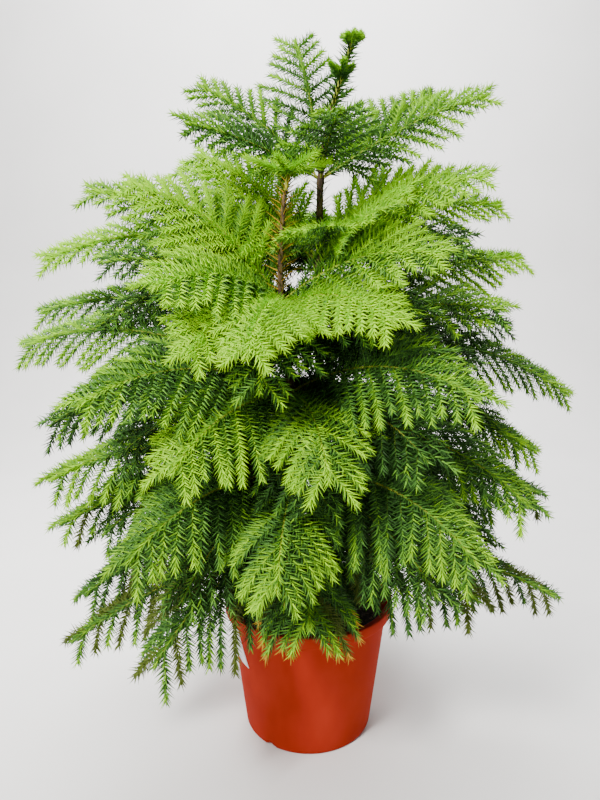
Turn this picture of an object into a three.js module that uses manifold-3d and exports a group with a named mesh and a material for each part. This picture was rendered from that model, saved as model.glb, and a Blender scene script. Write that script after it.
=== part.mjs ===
// A potted Norfolk Island pine with two stems from one root, standing in a round nursery pot.
// Millimetres, +Z up, the front of the plant faces -Y; the origin is the middle of the pot's underside.
import * as THREE from 'three';
import { mergeVertices } from 'three/addons/utils/BufferGeometryUtils.js';
import Module from 'manifold-3d';

const wasm = await Module();
wasm.setup();

// Space left between two nodes that meet, the share of it below which they count as touching,
// how far facets may stray when slivers are cleaned up, and the widest grid that the corners of a
// fused solid are laid on
const CLEARANCE = 0.3;
const TOUCH_SHARE = 0.9;
const FACET_TOLERANCE = 0.05;
const CORNER_GRID = 0.05;

// Nursery pot
const POT_HEIGHT = 193;
const RIM_RADIUS = 125;
const RIM_BAND = 15.5;
const RIM_STEP = 8;
const RIM_ROUND = 1.5;
const BASE_RADIUS = 94.5;
const BASE_ROUND = 2;
const POT_WALL = 2.4;
const POT_FLOOR = 3;
const POT_SIDES = 36;
const NOTCH_COUNT = 3;
const NOTCH_WIDTH = 14;
const NOTCH_HEIGHT = 6;
const NOTCH_DEPTH = 12;
const NOTCH_PHASE = 235;

// Potting soil, flat over most of its width and lower at the wall
const SOIL_LEVEL = 165;
const SOIL_CROWN = 4;
const SOIL_FLAT_SHARE = 0.7;

// Stems: centre line as [x, y, z] from the soil to the tip, then radius above the root flare and at the tip
const STEMS = {
  rear: {
    line: [[15, 28, 165.3], [17, 30, 450], [16, 30, 790], [26, 30, 870], [58, 28, 979]],
    baseRadius: 10.5,
    tipRadius: 2.8,
  },
  fore: {
    line: [[-8, -28, 165.3], [-20, -38, 450], [-38, -45, 650], [-34, -45, 750], [-28, -45, 791]],
    baseRadius: 9,
    tipRadius: 2.6,
  },
};
// Root flare, facets, how closely the rings stand towards the foot, and the length cut off flat there
const FLARE_RADIUS = 4;
const FLARE_HEIGHT = 26;
const STEM_SIDES = 9;
const STEM_RINGS = 14;
const STEM_RING_POWER = 1.25;
const STEM_CUT = 4;

// Whorls of branches from the top of each stem down. For each whorl:
// height on the stem, degrees the branch turns down on its way to the tip, longest side shoot,
// sag of a shoot under its own weight, tilt of the shoots out of the branch's plane in degrees,
// share of the shoot length left at the tip, length without shoots, and the branches themselves
// as [azimuth in degrees from +X, length, rise in degrees at the stem]
const WHORLS = [
  {
    stem: 'rear', height: 800, droop: 22, shoot: 78, sag: 0.2, lift: 0, tipShare: 0.5, bare: 15,
    branches: [[-4, 252, 34], [30, 272, 44], [112, 240, 76], [164, 232, 47], [206, 200, 24], [274, 150, 30]],
  },
  {
    stem: 'rear', height: 690, droop: 42, shoot: 85, sag: 0.25, lift: 0, tipShare: 0.4, bare: 20,
    branches: [[-28, 258, 40], [14, 320, 34], [92, 300, 36], [160, 270, 50], [184, 394, 17]],
  },
  {
    stem: 'rear', height: 575, droop: 40, shoot: 95, sag: 0.4, lift: -4, tipShare: 0.4, bare: 25,
    branches: [[-22, 270, 26], [18, 398, 36], [14, 435, 4], [108, 340, 24], [177, 438, 22]],
  },
  {
    stem: 'rear', height: 455, droop: 45, shoot: 100, sag: 0.6, lift: -8, tipShare: 0.42, bare: 30,
    branches: [[-32, 328, 5], [4, 365, 9], [58, 340, 14], [122, 350, 14], [190, 385, 20]],
  },
  {
    stem: 'rear', height: 345, droop: 45, shoot: 100, sag: 0.8, lift: -10, tipShare: 0.42, bare: 50,
    branches: [[-8, 328, 21], [42, 366, 20], [92, 360, 10], [148, 370, 10], [200, 378, 18]],
  },
  {
    stem: 'rear', height: 250, droop: 40, shoot: 90, sag: 0.9, lift: -12, tipShare: 0.4, bare: 70,
    bough: true,
    branches: [[-16, 350, 12], [66, 334, 5], [170, 375, 10], [212, 375, 10]],
  },
  {
    stem: 'fore', height: 630, droop: 50, shoot: 88, sag: 0.3, lift: 0, tipShare: 0.4, bare: 15,
    branches: [[180, 298, 50], [234, 215, 24], [262, 215, 4], [330, 230, 34]],
  },
  {
    stem: 'fore', height: 508, droop: 54, shoot: 100, sag: 0.45, lift: -4, tipShare: 0.45, bare: 20,
    branches: [[176, 410, 31], [214, 300, 24], [286, 220, 2], [318, 290, 26]],
  },
  {
    stem: 'fore', height: 390, droop: 55, shoot: 105, sag: 0.7, lift: -10, tipShare: 0.45, bare: 25,
    branches: [[193, 335, 26], [231, 290, 14], [264, 240, 5], [312, 310, 16]],
  },
  {
    stem: 'fore', height: 290, droop: 55, shoot: 105, sag: 0.9, lift: -12, tipShare: 0.45, bare: 60,
    bough: true,
    branches: [[194, 310, 14], [233, 285, 10], [272, 195, 12], [328, 268, 17]],
  },
];
const DROOP_POWER = 1.4;
const SWEEP = 16;
const LIGHT_LEAN = 1;
const AXIS_STEPS = 24;

// A branch is seated against its stem by moving a short length of it out in small steps
const FOOT_LENGTH = 8;
const SEAT_STEP = 0.1;

// Side shoots: the finest spacing on the plant; the solid keeps every fourth, left and right in turn
const SHOOT_SPACING = 20;
const KEPT_SHOOT = 4;
const SHOOT_STEPS = 6;
const SHOOT_ANGLE = 60;
const SHOOT_ANGLE_FALL = 22;
const SHOOT_ANGLE_PLAY = 8;
const SHOOT_LENGTH_PLAY = 0.3;
const SHOOT_SAG_PLAY = 0.4;
const SHORTEST_SHOOT = 14;
const TERMINAL_SHARE = 0.16;
// Shoots are shorter at the foot of a branch, longest from here on, and at their shortest near its tip
const SHOOT_FOOT_SHARE = 0.65;
const SHOOT_FULL_FROM = 0.3;
const SHOOT_LEAST_FROM = 0.95;

// Branch axes and boughs
const AXIS_SIDES = 3;
const AXIS_RINGS = 4;
const AXIS_RADIUS_SHARE = 0.0075;
const AXIS_TIP_RADIUS = 0.9;
// How far the axis runs into the terminal spray, and the steps in which a blocked one is shortened
const AXIS_IN_SPRAY = 0.25;
const AXIS_LEAST_REACH = 0.4;
const AXIS_REACH_STEP = 0.06;
const BOUGH_SIDES = 6;
const BOUGH_RINGS = 3;
const BOUGH_BASE_RADIUS = 3;
const BOUGH_TIP_RADIUS = 2.6;

// A spray of needles as a toothed blade: [share of length, share of half width] along one edge
const BLADE_EDGE = [[0, 0.08], [0.34, 1], [0.46, 0.44], [0.7, 0.76]];
const BLADE_RIDGE = 0.4;
const BLADE_HALF_WIDTH = 14;
const BLADE_WIDTH_SHARE = 0.25;
const BLADE_HALF_THICKNESS = 2;
const BLADE_SINK = 0.3;

// Tufts of young shoots at the stem tips
const BUD_RADIUS = 1.2;
const TUFT_LENGTH_PLAY = [0.8, 1.15];
const TUFTS = {
  rear: { core: 7, shoots: 5, length: 19, rise: 32, phase: 20 },
  fore: { core: 7, shoots: 6, length: 50, rise: 16, phase: 250 },
};

const COLOURS = {
  pot: 0xb5402a,
  soil: 0x2b1f18,
  stem: 0x5d4a32,
  bough: 0x6a5a36,
  rear: 0x3d7a26,
  fore: 0x74a82a,
};

const UP = new THREE.Vector3(0, 0, 1);
const FRONT = new THREE.Vector3(0, -1, 0);
const LIGHT = new THREE.Vector3(0, -LIGHT_LEAN, 1);

function lerp(a, b, t) {
  return a + (b - a) * t;
}

function smooth(low, high, x) {
  const t = Math.min(1, Math.max(0, (x - low) / (high - low)));
  return t * t * (3 - 2 * t);
}

// Repeatable chance between 0 and 1 for the c-th choice made at place b of branch a
function noise(a, b, c) {
  const v = Math.sin(a * 127.1 + b * 311.7 + c * 74.7) * 43758.5453;
  return v - Math.floor(v);
}

// Direction with an azimuth from +X and a rise above the level, both in degrees
function headingTo(azimuth, rise) {
  const turn = THREE.MathUtils.degToRad(azimuth);
  const tilt = THREE.MathUtils.degToRad(rise);
  const level = Math.cos(tilt);
  return new THREE.Vector3(level * Math.cos(turn), level * Math.sin(turn), Math.sin(tilt));
}

function toSolid(geometry) {
  geometry.deleteAttribute('normal');
  geometry.deleteAttribute('uv');
  const merged = mergeVertices(geometry, 1e-4);
  const index = merged.index.array;
  const triangles = [];
  for (let i = 0; i < index.length; i += 3) {
    const [a, b, c] = [index[i], index[i + 1], index[i + 2]];
    if (a !== b && b !== c && c !== a) triangles.push(a, b, c);
  }
  const mesh = new wasm.Mesh({
    numProp: 3,
    vertProperties: merged.attributes.position.array,
    triVerts: new Uint32Array(triangles),
  });
  mesh.merge();
  return new wasm.Manifold(mesh);
}

// Union of the solids as one body: sealed hollows are filled and loose scrap is dropped
function fuse(solids) {
  return onGrid(cleaned(wasm.Manifold.union(solids)));
}

// The largest body of the solid, without slivers
function cleaned(solid) {
  const bodies = solid.asOriginal().simplify(FACET_TOLERANCE).decompose();
  return bodies.reduce((best, body) => (body.volume() > best.volume() ? body : best));
}

// The solid with its corners on a fine grid, which closes up the edges that are too short to matter
function onGrid(solid) {
  const { vertProperties, triVerts } = solid.getMesh();
  for (let grid = CORNER_GRID; grid > CORNER_GRID / 2; grid -= CORNER_GRID / 10) {
    const corners = Float32Array.from(vertProperties, (v) => Math.round(v / grid) * grid);
    const geometry = new THREE.BufferGeometry();
    geometry.setAttribute('position', new THREE.BufferAttribute(corners, 3));
    const snapped = cleaned(toSolid(geometry.setIndex(Array.from(triVerts))));
    if (!hasDoubledEdge(snapped)) return snapped;
  }
  throw new Error('no grid keeps the solid closed');
}

// Whether more than two faces meet at one edge
function hasDoubledEdge(solid) {
  const { vertProperties, triVerts } = solid.getMesh();
  const corner = (i) => vertProperties.slice(3 * i, 3 * i + 3).join();
  const edges = new Set();
  triVerts.forEach((vertex, i) => {
    const next = triVerts[i % 3 === 2 ? i - 2 : i + 1];
    edges.add(`${corner(vertex)} ${corner(next)}`);
  });
  return edges.size < triVerts.length;
}

function lathe(profile) {
  const points = profile.map(([r, z]) => new THREE.Vector2(r, z));
  return toSolid(new THREE.LatheGeometry(points, POT_SIDES).rotateX(Math.PI / 2));
}

// Tapering limb: a capped cylinder whose rings are carried along the centre line, one edge to the face
function limb(centre, radius, sides, rings, face = FRONT) {
  const geometry = new THREE.CylinderGeometry(1, 1, 1, sides, rings);
  const position = geometry.attributes.position;
  const step = 1e-3;
  for (let i = 0; i < position.count; i += 1) {
    const t = position.getY(i) + 0.5;
    const along = centre(Math.min(1, t + step)).sub(centre(Math.max(0, t - step))).normalize();
    const side = face.clone().cross(along).normalize();
    const out = side.clone().cross(along);
    const point = centre(t)
      .addScaledVector(side, position.getX(i) * radius(t))
      .addScaledVector(out, position.getZ(i) * radius(t));
    position.setXYZ(i, point.x, point.y, point.z);
  }
  return toSolid(geometry);
}

// Point at share t of a polyline with evenly spaced points
function along(points, t) {
  const x = t * (points.length - 1);
  const i = Math.min(Math.floor(x), points.length - 2);
  return points[i].clone().lerp(points[i + 1], x - i);
}

// Middle of a stem at height z, on a smooth curve through the points of its line
function stemCentre(stem, z) {
  const { line } = STEMS[stem];
  const last = line.length - 1;
  let i = 0;
  while (i < last - 1 && line[i + 1][2] < z) i += 1;
  const rise = line[i + 1][2] - line[i][2];
  const t = (z - line[i][2]) / rise;
  const slope = (k, axis) => {
    const [low, high] = [line[Math.max(0, k - 1)], line[Math.min(last, k + 1)]];
    return (high[axis] - low[axis]) / (high[2] - low[2]);
  };
  const curve = (axis) => (2 * t ** 3 - 3 * t ** 2 + 1) * line[i][axis]
    + (3 * t ** 2 - 2 * t ** 3) * line[i + 1][axis]
    + (t ** 3 - 2 * t ** 2 + t) * rise * slope(i, axis)
    + (t ** 3 - t ** 2) * rise * slope(i + 1, axis);
  return new THREE.Vector3(curve(0), curve(1), z);
}

function stemRadius(stem, z) {
  const { line, baseRadius, tipRadius } = STEMS[stem];
  const [foot, top] = [line[0][2], line[line.length - 1][2]];
  const flare = FLARE_RADIUS * Math.exp(-(z - foot) / FLARE_HEIGHT);
  return lerp(baseRadius, tipRadius, (z - foot) / (top - foot)) + flare;
}

function makeStem(stem) {
  const { line } = STEMS[stem];
  const [foot, top] = [line[0][2], line[line.length - 1][2]];
  const height = (t) => lerp(foot - STEM_CUT, top, t ** STEM_RING_POWER);
  const centre = (t) => stemCentre(stem, height(t));
  const solid = limb(centre, (t) => stemRadius(stem, height(t)), STEM_SIDES, STEM_RINGS);
  return solid.trimByPlane([0, 0, 1], foot);
}

function makePot() {
  const wallTop = RIM_RADIUS - RIM_STEP;
  const bandFoot = POT_HEIGHT - RIM_BAND;
  const outer = [
    [0, 0],
    [BASE_RADIUS - BASE_ROUND, 0],
    [BASE_RADIUS, BASE_ROUND],
    [wallTop, bandFoot],
    [RIM_RADIUS - RIM_ROUND, bandFoot],
    [RIM_RADIUS - RIM_ROUND / 3, bandFoot + RIM_ROUND],
    [RIM_RADIUS, POT_HEIGHT - RIM_ROUND],
    [RIM_RADIUS - RIM_ROUND, POT_HEIGHT],
  ];
  const inner = [
    [innerRadius(POT_HEIGHT), POT_HEIGHT],
    [innerRadius(POT_FLOOR), POT_FLOOR],
    [0, POT_FLOOR],
  ];
  const notches = [];
  for (let i = 0; i < NOTCH_COUNT; i += 1) {
    const cut = new THREE.CylinderGeometry(NOTCH_HEIGHT, NOTCH_HEIGHT, NOTCH_DEPTH, 12);
    cut.scale(NOTCH_WIDTH / 2 / NOTCH_HEIGHT, 1, 1);
    cut.translate(0, BASE_RADIUS, 0);
    cut.rotateZ(THREE.MathUtils.degToRad(NOTCH_PHASE - 90 + (360 / NOTCH_COUNT) * i));
    notches.push(toSolid(cut));
  }
  const shell = lathe([...outer, ...inner]);
  return notches.reduce((pot, notch) => pot.subtract(notch), shell);
}

function innerRadius(z) {
  return lerp(BASE_RADIUS, RIM_RADIUS - RIM_STEP, z / (POT_HEIGHT - RIM_BAND)) - POT_WALL;
}

function makeSoil() {
  const foot = POT_FLOOR + CLEARANCE;
  const edge = SOIL_LEVEL - SOIL_CROWN;
  return lathe([
    [0, foot],
    [innerRadius(foot) - CLEARANCE, foot],
    [innerRadius(edge) - CLEARANCE, edge],
    [innerRadius(edge) * SOIL_FLAT_SHARE, SOIL_LEVEL],
    [0, SOIL_LEVEL],
  ]);
}

// Centre line of a branch from the middle of its stem: it rises, levels out and hangs towards its tip
function branchLine(index, whorl, [azimuth, length, rise]) {
  const sweep = SWEEP * (noise(index, 1, 0) - 0.5);
  const point = stemCentre(whorl.stem, whorl.height);
  const points = [point.clone()];
  for (let i = 0; i < AXIS_STEPS; i += 1) {
    const s = (i + 0.5) / AXIS_STEPS;
    const heading = headingTo(azimuth + sweep * s, rise - whorl.droop * s ** DROOP_POWER);
    point.addScaledVector(heading, length / AXIS_STEPS);
    points.push(point.clone());
  }
  return points;
}

// Share of the branch at which its foot comes clear of the stem
function clearStart(whorl, points, length, radius, sides) {
  const foot = (s) => {
    const centre = (t) => along(points, s + (FOOT_LENGTH / length) * t);
    return limb(centre, () => radius, sides, 1, LIGHT);
  };
  let start = stemRadius(whorl.stem, whorl.height) / 2 / length;
  while (foot(start).minGap(stemSolids[whorl.stem], 2 * CLEARANCE) < CLEARANCE) {
    start += SEAT_STEP / length;
  }
  return start;
}

// Upper face of a spray looks up and a little to the light in front of the plant
function shootFrame(points, s) {
  const i = Math.min(Math.floor(s * AXIS_STEPS), AXIS_STEPS - 1);
  const heading = points[i + 1].clone().sub(points[i]).normalize();
  const across = LIGHT.clone().cross(heading).normalize();
  const normal = heading.clone().cross(across);
  return { heading, across, normal };
}

// Centre line of a side shoot, bent down step by step by its own weight
function shootLine(start, heading, length, sag) {
  const point = start.clone();
  const direction = heading.clone();
  const points = [point.clone()];
  for (let i = 0; i < SHOOT_STEPS; i += 1) {
    direction.addScaledVector(UP, -sag / SHOOT_STEPS).normalize();
    point.addScaledVector(direction, length / SHOOT_STEPS);
    points.push(point.clone());
  }
  return points;
}

function shootShare(u, tipShare) {
  const swell = lerp(SHOOT_FOOT_SHARE, 1, smooth(0, SHOOT_FULL_FROM, u));
  return swell * lerp(1, tipShare, smooth(SHOOT_FULL_FROM, SHOOT_LEAST_FROM, u));
}

// Toothed blade along a shoot: two edges of teeth around a raised ridge on both faces
function blade(points, length, normal) {
  const heading = points[1].clone().sub(points[0]).normalize();
  const across = normal.clone().cross(heading).normalize();
  const face = heading.clone().cross(across);
  const halfWidth = Math.min(BLADE_HALF_WIDTH, length * BLADE_WIDTH_SHARE);
  const edge = (side) => BLADE_EDGE.map(([t, w]) => {
    const middle = along(points, t);
    return middle.addScaledVector(across, side * w * halfWidth);
  });
  const outline = [...edge(-1), points[points.length - 1].clone(), ...edge(1).reverse()];
  outline[0].addScaledVector(heading, -BLADE_SINK);
  outline[outline.length - 1].addScaledVector(heading, -BLADE_SINK);
  const ridge = along(points, BLADE_RIDGE);
  const top = ridge.clone().addScaledVector(face, BLADE_HALF_THICKNESS);
  const bottom = ridge.clone().addScaledVector(face, -BLADE_HALF_THICKNESS);
  const geometry = new THREE.BufferGeometry().setFromPoints([...outline, top, bottom]);
  const count = outline.length;
  const triangles = [];
  for (let i = 0; i < count; i += 1) {
    const j = (i + 1) % count;
    triangles.push(i, j, count, j, i, count + 1);
  }
  return toSolid(geometry.setIndex(triangles));
}

// Solids already standing, by node, so that every new limb or spray keeps to its own space
const standing = [];

function touches(node, solid) {
  const { min, max } = solid.boundingBox();
  return standing.some((other) => {
    if (other.node === node) return false;
    const { min: low, max: high } = other.box;
    const apart = [0, 1, 2].some((k) => min[k] > high[k] + CLEARANCE || max[k] < low[k] - CLEARANCE);
    return !apart && solid.minGap(other.solid, 2 * CLEARANCE) < CLEARANCE * TOUCH_SHARE;
  });
}

function stand(node, solid) {
  standing.push({ node, solid, box: solid.boundingBox() });
  return solid;
}

const group = new THREE.Group();
group.name = 'potted_norfolk_pine';

function addNode(name, solid, colour, roughness) {
  const { vertProperties, triVerts } = solid.getMesh();
  const geometry = new THREE.BufferGeometry();
  geometry.setAttribute('position', new THREE.BufferAttribute(new Float32Array(vertProperties), 3));
  geometry.setIndex(Array.from(triVerts));
  geometry.computeVertexNormals();
  const material = new THREE.MeshStandardMaterial({ color: colour, roughness, metalness: 0 });
  const mesh = new THREE.Mesh(geometry, material);
  mesh.name = name;
  group.add(mesh);
}

// Every branch of the plant with its names, centre line and the shares where its limb parts begin
function planBranches() {
  const tiers = { rear: 0, fore: 0 };
  const branches = [];
  for (const whorl of WHORLS) {
    tiers[whorl.stem] += 1;
    whorl.branches.forEach((sizes, i) => {
      const index = branches.length + 1;
      const place = `${whorl.stem}_tier${tiers[whorl.stem]}`;
      const axisRadius = sizes[1] * AXIS_RADIUS_SHARE;
      const limbRadius = whorl.bough ? BOUGH_BASE_RADIUS : axisRadius;
      const points = branchLine(index, whorl, sizes);
      const limbSides = whorl.bough ? BOUGH_SIDES : AXIS_SIDES;
      const start = clearStart(whorl, points, sizes[1], limbRadius, limbSides);
      branches.push({
        index,
        whorl,
        length: sizes[1],
        axisRadius,
        frond: `${place}_frond${i + 1}`,
        bough: whorl.bough ? `${place}_bough${i + 1}` : null,
        points,
        start,
        leafStart: Math.max(start, whorl.bare / sizes[1]),
      });
    });
  }
  return branches;
}

function makeBough({ bough, points, start, leafStart }) {
  const centre = (t) => along(points, lerp(start, leafStart, t));
  const radius = (t) => lerp(BOUGH_BASE_RADIUS, BOUGH_TIP_RADIUS, t);
  return stand(bough, limb(centre, radius, BOUGH_SIDES, BOUGH_RINGS, LIGHT));
}

// Axis of a frond; it stops short where it would run into something that already stands
function makeAxis(branch) {
  const { frond, bough, points, start, leafStart, length, axisRadius } = branch;
  const from = bough ? leafStart + CLEARANCE / length : start;
  for (let reach = 1; reach > AXIS_LEAST_REACH; reach -= AXIS_REACH_STEP) {
    const end = reach - TERMINAL_SHARE * (1 - AXIS_IN_SPRAY);
    const centre = (t) => along(points, lerp(from, end, t));
    const solid = limb(centre, (t) => lerp(axisRadius, AXIS_TIP_RADIUS, t), AXIS_SIDES, AXIS_RINGS, LIGHT);
    if (!touches(frond, solid)) {
      branch.reach = reach;
      branch.axis = stand(frond, solid);
      return;
    }
  }
  throw new Error(`no room for ${frond}`);
}

function addSpray(branch, sprays, points, length, normal) {
  if (length < SHORTEST_SHOOT) return;
  const solid = blade(points, length, normal);
  if (!touches(branch.frond, solid)) sprays.push(stand(branch.frond, solid));
}

function makeFrond(branch) {
  const { index, whorl, length, points, leafStart, reach } = branch;
  const sprays = [];
  const leafy = length * (1 - leafStart);
  const count = Math.round(leafy / SHOOT_SPACING);
  for (let k = 1; k < count; k += KEPT_SHOOT / 2) {
    const u = k / count;
    const s = lerp(leafStart, 1, u);
    if (s > reach) break;
    const side = k % KEPT_SHOOT === 1 ? -1 : 1;
    const { heading, across, normal } = shootFrame(points, s);
    const play = noise(index, k, side);
    const size = whorl.shoot * shootShare(u, whorl.tipShare) * (1 + SHOOT_LENGTH_PLAY * (play - 0.5));
    const turn = noise(index, k, side + 5) - 0.5;
    const angle = THREE.MathUtils.degToRad(SHOOT_ANGLE - SHOOT_ANGLE_FALL * u + SHOOT_ANGLE_PLAY * turn);
    const lift = THREE.MathUtils.degToRad(whorl.lift);
    const direction = heading.clone().multiplyScalar(Math.cos(angle))
      .addScaledVector(across, Math.sin(angle) * side * Math.cos(lift))
      .addScaledVector(normal, Math.sin(angle) * Math.sin(lift));
    const sag = whorl.sag * (1 + SHOOT_SAG_PLAY * (play - 0.5));
    const line = shootLine(along(points, s), direction, size, sag);
    addSpray(branch, sprays, line, size, normal);
  }
  const tipStart = reach - TERMINAL_SHARE;
  const { normal } = shootFrame(points, tipStart);
  const tip = [];
  for (let i = 0; i <= SHOOT_STEPS; i += 1) {
    tip.push(along(points, lerp(tipStart, reach, i / SHOOT_STEPS)));
  }
  addSpray(branch, sprays, tip, TERMINAL_SHARE * length, normal);
  return fuse([branch.axis, ...sprays]);
}

// Young shoots around the end of a stem, seated just above its cut
function makeTuft(stem, node) {
  const { core, shoots, length, rise, phase } = TUFTS[stem];
  const { line, tipRadius } = STEMS[stem];
  const top = line[line.length - 1][2];
  const foot = stemCentre(stem, top);
  const lean = foot.clone().sub(stemCentre(stem, top - 10)).normalize();
  const start = foot.clone().addScaledVector(lean, CLEARANCE);
  const centre = (t) => start.clone().addScaledVector(lean, core * t);
  const solids = [limb(centre, (t) => lerp(tipRadius, BUD_RADIUS, t), BOUGH_SIDES, 1)];
  for (let i = 0; i < shoots; i += 1) {
    const heading = headingTo(phase + (360 / shoots) * i, rise);
    const size = length * lerp(...TUFT_LENGTH_PLAY, noise(shoots, i, length));
    const solid = blade(shootLine(centre(0.5), heading, size, 0), size, UP);
    if (!touches(node, solid)) solids.push(stand(node, solid));
  }
  return fuse(solids);
}

addNode('pot', stand('pot', makePot()), COLOURS.pot, 0.5);
addNode('soil', stand('soil', makeSoil()), COLOURS.soil, 1);
const stemSolids = {};
for (const stem of Object.keys(STEMS)) {
  stemSolids[stem] = stand(`${stem}_stem`, makeStem(stem));
  addNode(`${stem}_stem`, stemSolids[stem], COLOURS.stem, 0.9);
}
for (const stem of Object.keys(TUFTS)) {
  addNode(`${stem}_tip`, makeTuft(stem, `${stem}_tip`), COLOURS[stem], 0.7);
}
const branches = planBranches();
for (const branch of branches) {
  if (branch.bough) addNode(branch.bough, makeBough(branch), COLOURS.bough, 0.9);
}
branches.forEach(makeAxis);
for (const branch of branches) {
  addNode(branch.frond, makeFrond(branch), COLOURS[branch.whorl.stem], 0.7);
}

export default group;
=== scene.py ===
"""Potted Norfolk pine: two young stems with whorls of soft needled fronds in a nursery pot.

The fronds follow the growth rule of the solids and carry it on to every side shoot and needle.
Sizes are in millimetres and degrees until a mesh is made, which is in metres.
"""

import logging
import math
from collections.abc import Iterator
from dataclasses import dataclass, field, replace
from enum import Enum, IntEnum

import bpy
import numpy as np
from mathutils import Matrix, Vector, noise


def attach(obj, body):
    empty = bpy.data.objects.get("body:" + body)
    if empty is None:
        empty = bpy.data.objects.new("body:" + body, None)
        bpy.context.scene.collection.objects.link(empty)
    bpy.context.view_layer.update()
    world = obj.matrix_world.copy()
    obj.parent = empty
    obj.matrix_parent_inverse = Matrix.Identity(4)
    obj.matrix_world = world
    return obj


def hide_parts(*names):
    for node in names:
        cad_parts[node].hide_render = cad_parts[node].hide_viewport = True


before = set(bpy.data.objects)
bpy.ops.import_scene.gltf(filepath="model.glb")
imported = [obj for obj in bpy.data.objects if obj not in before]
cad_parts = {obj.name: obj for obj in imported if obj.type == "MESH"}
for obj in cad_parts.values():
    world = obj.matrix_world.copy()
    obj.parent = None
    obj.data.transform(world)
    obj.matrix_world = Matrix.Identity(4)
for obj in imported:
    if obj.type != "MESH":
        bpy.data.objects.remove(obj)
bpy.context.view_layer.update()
log = logging.getLogger("norfolk_pine")

MM = 0.001
UP = np.array([0.0, 0.0, 1.0])
LIGHT = np.array([0.0, -1.0, 1.0])
GOLDEN_TURN = math.radians(137.508)

Colour = tuple[float, float, float]
Place = tuple[float, float, float]
Branch = tuple[float, float, float]
Points = np.ndarray
Faces = list[tuple[int, ...]]

# Outer radius of the crown by height, and how much flatter it is in front and behind
CROWN_SKIN = (
    (0.0, 350.0), (250.0, 410.0), (450.0, 440.0), (620.0, 420.0),
    (760.0, 330.0), (900.0, 240.0), (1000.0, 150.0),
)
FRONT_DEPTH = 0.62
BACK_DEPTH = 0.9

# Steps and gain of the repeatable chances, numbers that sprays count from, and seeds
CHANCE_STEPS = (127.1, 311.7, 74.7)
CHANCE_GAIN = 43758.5453
FINE_STEP = 100
SPRAY_STEP = 1000
BUD_SPRAY = 900
TUFT_SPRAY = 800000
CLAD_SPRAY = 900000
NEEDLE_SEED = 1000003
CHIP_SEED = 11
LUMP_SEED = 3.0
CRUMB_SEED = 8.0
BARK_SEED = 5.0

# Growth of a frond, by the rule that the solids follow
SWEEP = 16.0
DROOP_POWER = 1.4
AXIS_RADIUS_SHARE = 0.0075
AXIS_TIP_RADIUS = 0.9
SHOOT_RADII = (1.1, 0.5)
SHOOT_BARE = 0.02
SHOOT_ANGLE = 60.0
SHOOT_ANGLE_FALL = 22.0
SHOOT_ANGLE_PLAY = 8.0
SHOOT_LENGTH_PLAY = 0.3
SHOOT_LEAST_SAG = 0.8
SHOOT_SAG_PLAY = 0.4
SHOOT_DRIFT = 0.3
SHOOT_FOOT_SHARE = 0.65
SHOOT_FULL_FROM = 0.3
SHOOT_LEAST_FROM = 0.95
LEAST_POINTS = 3

# Finer fronds: under the main ones, between them, and inner ones between the two stems
FINE_DENSITY = 0.75
UNDER_TURN = 16.0
UNDER_LENGTH = 0.84
UNDER_FALL = 14.0
UNDER_BELOW = 14.0
BETWEEN_BELOW = 4.0
INNER_DROOP = 18.0
INNER_SHOOT = 0.8
INNER_BARE = 8.0
INNER_LENGTHS = (120.0, 195.0)
INNER_RISE = 18.0
INNER_BELOW = 6.0

# Tufts and the green top of a stem
TUFT_LENGTH_PLAY = (0.8, 1.15)
TUFT_RADII = (1.2, 0.5)
TUFT_POINTS = 7
BUD_RADIUS = 1.2
BUD_SUNK = 2.0
BUD_BARE = 0.2
BUD_POINTS = 5
LEAN_SPAN = 10.0
GREEN_SKIN = 0.3
STRETCH_STEPS = 12

# Tone of the needles, their freshness with painted light and shade: its play, the painted light that rises
# towards the skin of the crown, the painted light and painted shade that some fronds have more or less of,
# and the tone above which a shoot takes the lighter twig finish
FROND_TONE_PLAY = 0.2
SPRAY_TONE_PLAY = 0.3
LIGHT_GAINS = (0.7, 0.35)
LIGHT_GAIN_HEIGHTS = (560.0, 800.0)
EVEN_OPENNESS = 0.72
MOST_OPENNESS = 1.15
BRIGHT_PAINTED_LIGHT = 0.2
BETWEEN_PAINTED_LIGHT = 0.35
UNDER_SHADE = 0.2
INNER_SHADE = 0.1
YOUNG_LIT_FROM = 0.5

# Tone along a twig: painted shade at its foot, fresher young needles at its end, painted light on its upper
# side and painted shade on its under side, its play, and the share of its end whose needles have dried
AXIS_FRESH_END = 0.4
SHOOT_FRESH_END = 0.2
BUD_FRESH_END = 0.1
FRESH_END_FROM = 0.5
FOOT_SHADE = 0.14
FOOT_SHADE_TO = 0.45
UPPER_PAINTED_LIGHT = 0.24
NEEDLE_TONE_PLAY = 0.08
DRY_END = 0.06

# Needles: play of their places, lean and length, and their shape
NEEDLE_PLACE_PLAY = (0.2, 0.8)
NEEDLE_LEAN_PLAY = 6.0
NEEDLE_LENGTH_PLAY = (0.82, 1.12)
NEEDLE_END_LOSS = 0.3
NEEDLE_SUNK = 0.25
NEEDLE_SIDES = 3
NEEDLE_FOOT_SHARE = 0.58

# Bark: its rings, its swelling at a whorl, and its relief of old leaf bases in crossing spirals
STEM_SUNK = 4.0
BARK_STEP = 2.2
WHORL_SWELL = 0.9
WHORL_SWELL_WIDTH = 7.0
GREEN_THINNER = 0.3
GREEN_FADE = 6.0
STEM_RELIEF = 0.6
BOUGH_RADII = (3.4, 2.5)
BOUGH_RINGS = 26
BOUGH_SIDES = 12
BOUGH_OVERLAP = 0.01
BOUGH_RELIEF = 0.25
BARK_FRONT = (0.0, -1.0, 0.2)
RIGHT_SPIRALS = 8
RIGHT_CLIMB = 0.55
LEFT_SPIRALS = 5
LEFT_CLIMB = 0.8
LEAF_BASE_SHARE = 0.6
ROUGH_SHARE = 0.8
ROUGH_WIDTH = 7.0

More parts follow.
